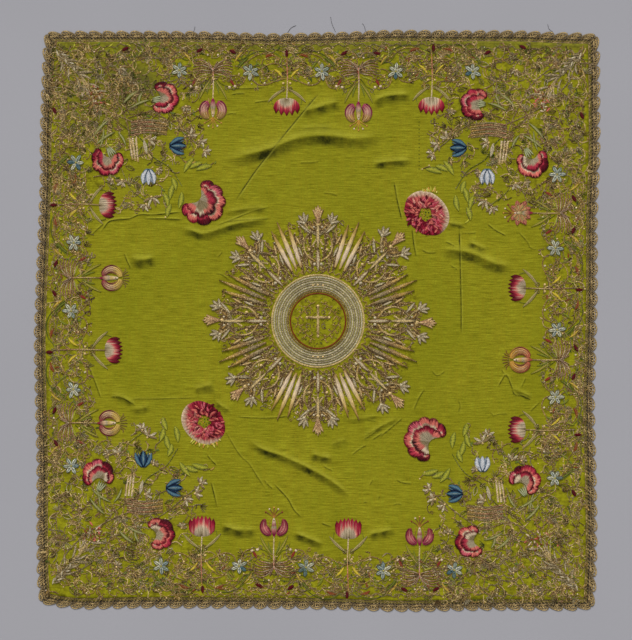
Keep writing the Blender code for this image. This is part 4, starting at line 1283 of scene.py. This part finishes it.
# The small dark buds along the lace.
BEANS = ((125.5, 49, -25), (199.6, 50.6, -30), (232.7, 52, 25), (286.7, 53.5, 90), (344, 53.5, -30),
         (377, 53.5, 10), (433.4, 48, 90), (487.5, 52.7, -25), (522.6, 47.3, 25), (581.8, 115.7, 65), (573.8, 198.4, 60),
         (573.2, 230.6, 115), (579, 289.8, 0), (575.9, 348.2, 60), (573.6, 376.7, 115), (577.7, 434.7, 0),
         (573.8, 492.9, 65), (436, 589, -30), (404.2, 589.4, 30), (347, 594.9, 90), (290.8, 587.3, -30),
         (258.8, 585.3, 30), (202.7, 589, 90), (56, 442.9, 60), (54.7, 410.2, 115), (49.6, 352.2, 0),
         (54.7, 293.5, 60), (56, 263.7, 115), (53.5, 205, 0), (54.7, 110.8, 65))
# Each iris's colours of rim, body, foot and stamens.
PURPLE = (rgb(146, 34, 76), rgb(184, 136, 118), rgb(178, 140, 80), OCHRE * 0.9)
GOLDEN = (rgb(132, 36, 56), rgb(194, 160, 118), rgb(196, 164, 82), BROWN)
MAGENTAS = (rgb(140, 28, 68), rgb(178, 98, 96), rgb(140, 50, 64), EMBER)
IRIS_TINTS = (PURPLE, PURPLE, (rgb(150, 44, 62), rgb(178, 124, 86), rgb(146, 132, 56), EMBER),
              (rgb(172, 84, 62), rgb(190, 142, 90), OCHRE * 0.9, EMBER),
              MAGENTAS, MAGENTAS, GOLDEN, GOLDEN)
IRIS_FORMS = ("bell", "bell", "fan", "ring", "cup", "cup", "ring", "ring")


def side_band(turn, start, end, seed):
    """The filling between the motifs of one side, in a band along the lace."""
    dice = np.random.default_rng(seed)
    across = {0: lambda t, d: (t, 42 + d), 90: lambda t, d: (588 - d, t), 180: lambda t, d: (t, 598 - d),
              270: lambda t, d: (48 + d, t)}[turn]
    outer = 3.0 if turn in (0, 180) else 6.0
    for depth, swing, phase, share in ((outer, 0.6, 0, 0), (10, 2, 0, 0.2), (21, 5, 2, 0.4), (32, 4, 4, 0.3)):
        along = np.arange(start, end, 9.0)
        points = [across(t, depth + swing * math.sin(2 * math.pi * t / 36.4 + phase)) for t in along]
        vine(points, dice, silk_share=share)
    count = 0
    while count < (end - start) * 0.35:
        t, d = dice.uniform(start, end), 6 + 38 * dice.random() ** 1.1
        place = across(t, d)
        if not clear_of_heads(place):
            continue
        fill = (sprig, tendril, plume, open_leaf)[dice.choice(4, p=(0.6, 0.18, 0.12, 0.1))]
        fill(*place, turn + dice.uniform(-60, 60) + dice.choice((0, 180)), dice.uniform(0.7, 1.0), dice)
        if dice.random() < 0.08:
            spot = Spot(*place, dice.uniform(0, 360))
            silks.leaf(spot(0, 0), spot(5.5, 0), 2.2, (UMBER, EMBER, EMBER), lift=0.8)
        count += 1


def flowers():
    """All the flower heads, buds and small motifs that are placed one by one."""
    for k, (x, y, facing) in enumerate(CARNATIONS):
        carnation(x, y, facing, 15.2, 5, 50 + k)
    for row in LARGE_CARNATIONS:
        carnation(*row)
    for row in FULL_CARNATIONS:
        full_carnation(*row)
    for x, y, turn in BEANS:
        spot = Spot(x, y, turn)
        silks.leaf(spot(-3.7, 0), spot(3.7, 0), 4.5, (DEEP * 0.6, BEAN * 0.75, BEAN * 0.85), lift=1.2,
                   blunt=0.6)
    for x, y, turn, stem in PINKS:
        pink(x, y, turn, stem)
    for (x, y, turn, base), form, tints in zip(IRISES, IRIS_FORMS, IRIS_TINTS):
        iris(x, y, turn, form, tints, base)
    for x, y, turn in CALYXES:
        spot = Spot(x, y, turn)
        for v in (-2.7, -0.9, 0.9, 2.7):
            silks.leaf(spot(-5.5, v * 0.5), spot(4.5, v * 1.4), 2.4,
                       (MOSS, rgb(140, 146, 104), rgb(180, 178, 138)), lift=1.4)
    for x, y, half, way in ((430, 192, 6, -1), (206, 443, 12, 1)):
        for k, u in enumerate(np.linspace(-half, half, 13)):
            place = np.array((x + u, y - way * 0.03 * u ** 2))
            tip = place + (u * 0.3 + 1.6 * math.sin(5 * k), way * (4.0 + 2.0 * math.sin(3 * k)))
            tint = (LEMON * 0.9, SPRING, OCHRE)[k % 3]
            silks.leaf(chart(place), chart(tip), 2.4, (OLIVE, tint, tint), lift=0.8)
    for y in np.arange(122, 170, 3.6):
        silks.dot(chart((419, y)), 0.7, 0.6, MOSS, OLIVE, sides=5)
    for k, (x, y, turn) in enumerate(STARS):
        star(x, y, turn, 90 + k)
    for x, y, turn, dark in TULIPS:
        tulip(x, y, turn, dark)


HEADS += [(x, y, 17) for x, y, *_ in CARNATIONS] + [(x, y, 17) for x, y, *_ in PINKS]
HEADS += [(x, y, 19) for x, y, *_ in IRISES] + [(x, y, 10) for x, y, *_ in STARS + TULIPS]
HEADS += [(*Spot(x, y, turn).chart(s * 10, -base), 8) for x, y, turn, base in IRISES for s in (-1, 1)]
HEADS += [(206, 205, 25), (423, 437, 25), (426, 213, 25), (203, 423, 25)]

for turn, start, end, seed in ((0, 160, 480, 11), (90, 180, 470, 12), (180, 160, 475, 13), (270, 170, 470, 14)):
    side_band(turn, start, end, seed)
for k, corner in enumerate(("upper_left", "upper_right", "lower_left", "lower_right")):
    corner_spray(corner, 20 + k)
medallion()
flowers()


def inside(points, ring):
    """Which points lie inside a closed ring."""
    x, y = points.T
    found = np.zeros(len(points), bool)
    for (ax, ay), (bx, by) in zip(ring, np.roll(ring, -1, axis=0)):
        if ay != by:
            found ^= ((ay > y) != (by > y)) & (x < (bx - ax) * (y - ay) / (by - ay) + ax)
    return found


def silk_cloth():
    """The silk as one closed thin sheet, finest along its folds and creases."""
    ring = np.vstack([curve(side.seam, round(length_of(side.seam) / 3.2))[:-1] for side in SIDES]) + SHIFT
    low, high = ring.min(0), ring.max(0)
    grid = np.stack(np.meshgrid(np.arange(low[0] + 2, high[0], 3.1), np.arange(low[1] + 2, high[1], 3.1)), -1)
    extra = [grid.reshape(-1, 2)]
    for _, line in CREASE_LINES:
        extra += [line + left_of(line) * off for off in (-2.2, -0.9, -0.4, 0, 0.4, 0.9, 1.5, 2.4)]
    for fold, line in FOLD_LINES:
        line = curve(line, round(length_of(line) / 2.5))
        extra += [line + left_of(line) * fold.width * off for off in (0.2, 0.42, 0.62, 0.85)]
    points = np.vstack(extra)
    points = points[inside(points, ring - np.sign(ring) * 1.2)]
    edges = [(k, (k + 1) % len(ring)) for k in range(len(ring))]
    flat, _, faces, *_ = delaunay_2d_cdt([Vector(p) for p in np.vstack([ring, points])], edges, [], 1, 1e-4)
    flat = np.array([tuple(p) for p in flat])
    height, dark, busy, shine = surface(flat, shades=True)
    count = len(flat)
    verts = np.vstack([np.column_stack([flat, height + SILK_THICKNESS]), np.column_stack([flat, height])]) * MM
    faces = np.array([f for f in faces if len(f) == 3])
    loops = np.vstack([faces[:, (0, 1)], faces[:, (1, 2)], faces[:, (2, 0)]])
    _, index, uses = np.unique(np.sort(loops, axis=1), axis=0, return_inverse=True, return_counts=True)
    rim = loops[uses[index.ravel()] == 1]
    walls = np.column_stack([rim[:, 1], rim[:, 0], rim[:, 0] + count, rim[:, 1] + count])
    every = faces.tolist() + (faces[:, ::-1] + count).tolist() + walls.tolist()
    silk = make_object("silk_ground", verts.tolist(), every, silk_material())
    # a stain in the upper left corner
    soil = smooth(1.3 - np.hypot(*((flat - chart((131, 85))) / (34, 26)).T)) * 0.8
    # painted shade over more of the upper left corner
    soil = np.maximum(soil, smooth(1.6 - np.hypot(*((flat - chart((104, 92))) / (46, 40)).T)) * 0.3)
    # a painted shadow on the silk just inside the top lace
    soil = np.maximum(soil, 0.4 * smooth((flat[:, 1] - 281) / 5))
    # the painted shade and painted highlight of the folds and creases, how embroidered the cloth is, and the
    # stain with its painted shade
    for name, values in (("crease", dark), ("shine", shine), ("worked", busy), ("soil", soil)):
        point_values(silk.data, name, np.concatenate([values, values]))
    silk.data.shade_smooth()
    return silk


def lace_rails(side):
    """The lace's seam and the line that its scallops touch, as closely spaced points."""
    seam = np.array(side.seam)
    along = (seam[-1] - seam[0]) / math.hypot(*(seam[-1] - seam[0]))
    rail = seam + np.array((-along[1], along[0])) * LACE_WIDTH
    rail[0] -= along * LACE_WIDTH
    rail[-1] += along * LACE_WIDTH
    return curve(seam, 1500) + SHIFT, curve(rail, 1500) + SHIFT


def lace_side(side, material):
    """One side's lace: a thin sheet, olive along the seam and beyond it dark as painted shade in the holes,
    and over it the footside, the fans' ribs and their rims.
    """
    seam, rail = lace_rails(side)
    dice = np.random.default_rng(len(side.name) + side.scallops)

    def place(share, across):
        share, across = np.broadcast_arrays(np.clip(share, 0, 1), across)
        k = share * (len(seam) - 1)
        ends = [np.stack([np.interp(k, np.arange(len(seam)), line[:, i]) for i in (0, 1)], -1)
                for line in (seam, rail)]
        return ends[0] + (ends[1] - ends[0]) * across[..., None]

    n, band = side.scallops, LACE_BAND / LACE_WIDTH
    share = np.linspace(0, 1, n * 12 + 1)
    phase = share * n % 1 - 0.5
    out = band - 0.1 + (0.9 - band) * np.cos(math.pi * phase * 0.98) ** 0.6
    rows = np.array((0, 0.28, 0.4, 1))[:, None]
    # the sheet under the threads: olive along the seam, then dark as painted shade seen through the lace's holes
    ground = Work()
    places = place(share[None] * np.ones_like(rows), out[None] * rows)
    tints = np.array((LACE_SEAM, LACE_SEAM, LACE_SHADE, LACE_SHADE))[:, None]
    ground.grid(places, 0.35, tints, places)
    base = ground.finish(f"lace_{side.name}_ground", material, on_cloth=False)[0]
    threads = Work(low=0.2)
    wobble = 0.01 * np.sin(share * n * 5)
    twist = (LACE_MID, LACE_PALE, LACE_MID, LACE_GREY) * n
    for across, width in ((0.05, 1.6), (0.46, 1.5)):
        threads.strand(place(share, across + wobble), width, 0.9, twist)
    zig = np.arange(0, 8 * n + 1)
    for low, high in ((0.05, 0.27), (0.27, 0.46)):
        threads.strand(place(zig / (8 * n), np.where(zig % 2, low, high)), 0.95, 1.0, (LACE_PALE, LACE_MID) * n)
    for lobe in range(n):
        middle = (lobe + 0.5) / n
        reach = (0.95 if side.name in ("top", "bottom") else 1.0) - (0 if 0 < lobe < n - 1 else 0.08)
        for turn in np.linspace(-0.38, 0.38, 4):
            tip = band + (reach - band) * math.cos(math.pi * turn) ** 0.5
            shares = middle + np.array((turn * 0.3, turn * 0.75, turn)) / n
            path = place(shares, np.array((0.46, 0.68, tip - 0.02)))
            shades = (LACE_PALE, LACE_MID) if dice.random() < 0.5 else (LACE_MID, LACE_PALE, LACE_MID)
            threads.strand(path, 1.2, 1.0, shades)
        for size, width in ((0.6, 1.1), (1.0, 1.7)):
            turn = np.linspace(-0.5, 0.5, 11)
            height = np.cos(math.pi * turn) ** 0.6
            across = 0.46 + size * (reach - 0.46 - (reach - band + 0.06) * (1 - height))
            across = across - (0.02 if size == 1 else 0)
            tint = (LACE_GREY, LACE_PALE, LACE_GREY) if size == 1 else (LACE_MID, LACE_PALE, LACE_MID)
            threads.strand(place(middle + turn * (0.55 + 0.45 * size) / n, across), width, 1.1, tint)
    work = threads.finish(f"lace_{side.name}_threads", material, on_cloth=False)
    length = float(np.hypot(*np.diff(seam, axis=0).T).sum()) * MM
    return base, work, length


# the first colour is painted shade for the lace's holes
LACE_SHADE, LACE_SEAM, LACE_MID = rgb(20, 12, 2), rgb(112, 100, 18), rgb(130, 105, 57)
LACE_PALE, LACE_GREY = rgb(192, 164, 108), rgb(112, 97, 71)

silk = silk_cloth()
silk_thread = thread_material("silk_threads", (1.5, 0.16, 1), 0.33, 0.8, 0.6, 0.0004, stitched=True,
                              Roughness=0.5, Specular_IOR_Level=0.12)
metal_thread = thread_material("metal_threads", (800, 800, 800), 0.36, 0.9, 0.55, 0.0005, painted_glints=True,
                               Roughness=0.45, Metallic=0.1, Specular_IOR_Level=0.15)
stitching = silks.finish("embroidery_silk", silk_thread)
gilding = metals.finish("embroidery_metal", metal_thread)
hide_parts("silk")
for piece in [silk, *stitching, *gilding]:
    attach(piece, "root")

lace_finish = thread_material("gilt_lace", (900, 900, 900), 0.34, 1.3, 0.4, 0.0004,
                              Roughness=0.42, Metallic=0.12, Specular_IOR_Level=0.35)
for side in SIDES:
    base, work, length = lace_side(side, lace_finish)
    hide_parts(f"lace_{side.name}")
    for piece in [base, *work]:
        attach(piece, "root")
    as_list(work)


def loose_threads(material):
    """Wisps of dark thread that stray past the lace."""
    wisps = Work(low=0.15)
    for points in (((195, 26.5), (194.6, 29), (193, 33)), ((296, 25.5), (291, 28), (287.5, 33)),
                   ((330.6, 17), (332, 24), (335.5, 32)), ((362.4, 23.5), (364.6, 27), (365.5, 32)),
                   ((547.7, 24.5), (549, 29), (552.8, 32))):
        wisps.strand(chart(curve(points, 9)), 0.45, 0.5, rgb(84, 80, 84))
    return wisps.finish("loose_threads", material, on_cloth=False)


for piece in loose_threads(lace_finish):
    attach(piece, "root")


def studio():
    """A pale grey table, a broad soft light from the upper side, weaker fill, and the camera straight above."""
    g = Graph("studio_grey", Roughness=0.95, Specular_IOR_Level=0.1)
    floor = make_object("studio_floor", [(-4, -4, 0), (4, -4, 0), (4, 4, 0), (-4, 4, 0)], [(0, 1, 2, 3)],
                        g.colour(g.mix(rgb(157, 156, 161), rgb(161, 160, 165), g.noise((3, 3, 3)))))
    scene = bpy.context.scene
    for name, place, spread, power in (("key", (-0.35, 1.75, 1.15), 22, KEY),
                                       ("fill", (0.5, -1.0, 2.2), 60, FILL)):
        light = bpy.data.lights.new(name, "SUN")
        light.angle, light.energy = math.radians(spread), power
        lamp = bpy.data.objects.new(name, light)
        lamp.location = place
        lamp.rotation_euler = (-Vector(place)).to_track_quat("-Z", "Y").to_euler()
        scene.collection.objects.link(lamp)
    world = bpy.data.worlds.new("studio_air")
    world.use_nodes = True
    world.node_tree.nodes["Background"].inputs["Color"].default_value = (AIR, AIR, AIR, 1)
    scene.world = world
    scene.view_settings.view_transform = "Standard"
    lens = bpy.data.cameras.new("photo_view")
    lens.sensor_fit, lens.sensor_width, lens.sensor_height = "VERTICAL", 36.0, 36.0
    lens.lens = 36.0 * CAMERA_HEIGHT / (PICTURE_HEIGHT * CHART * MM)
    camera = bpy.data.objects.new("photo_view", lens)
    camera.location = (-0.0012, 0.00077, CAMERA_HEIGHT)
    scene.collection.objects.link(camera)
    scene.camera = camera


KEY, FILL, AIR = 2.8, 0.55, 0.365
CAMERA_HEIGHT, PICTURE_HEIGHT = 2.4, 640  # metres; the photo's height in chart units
studio()
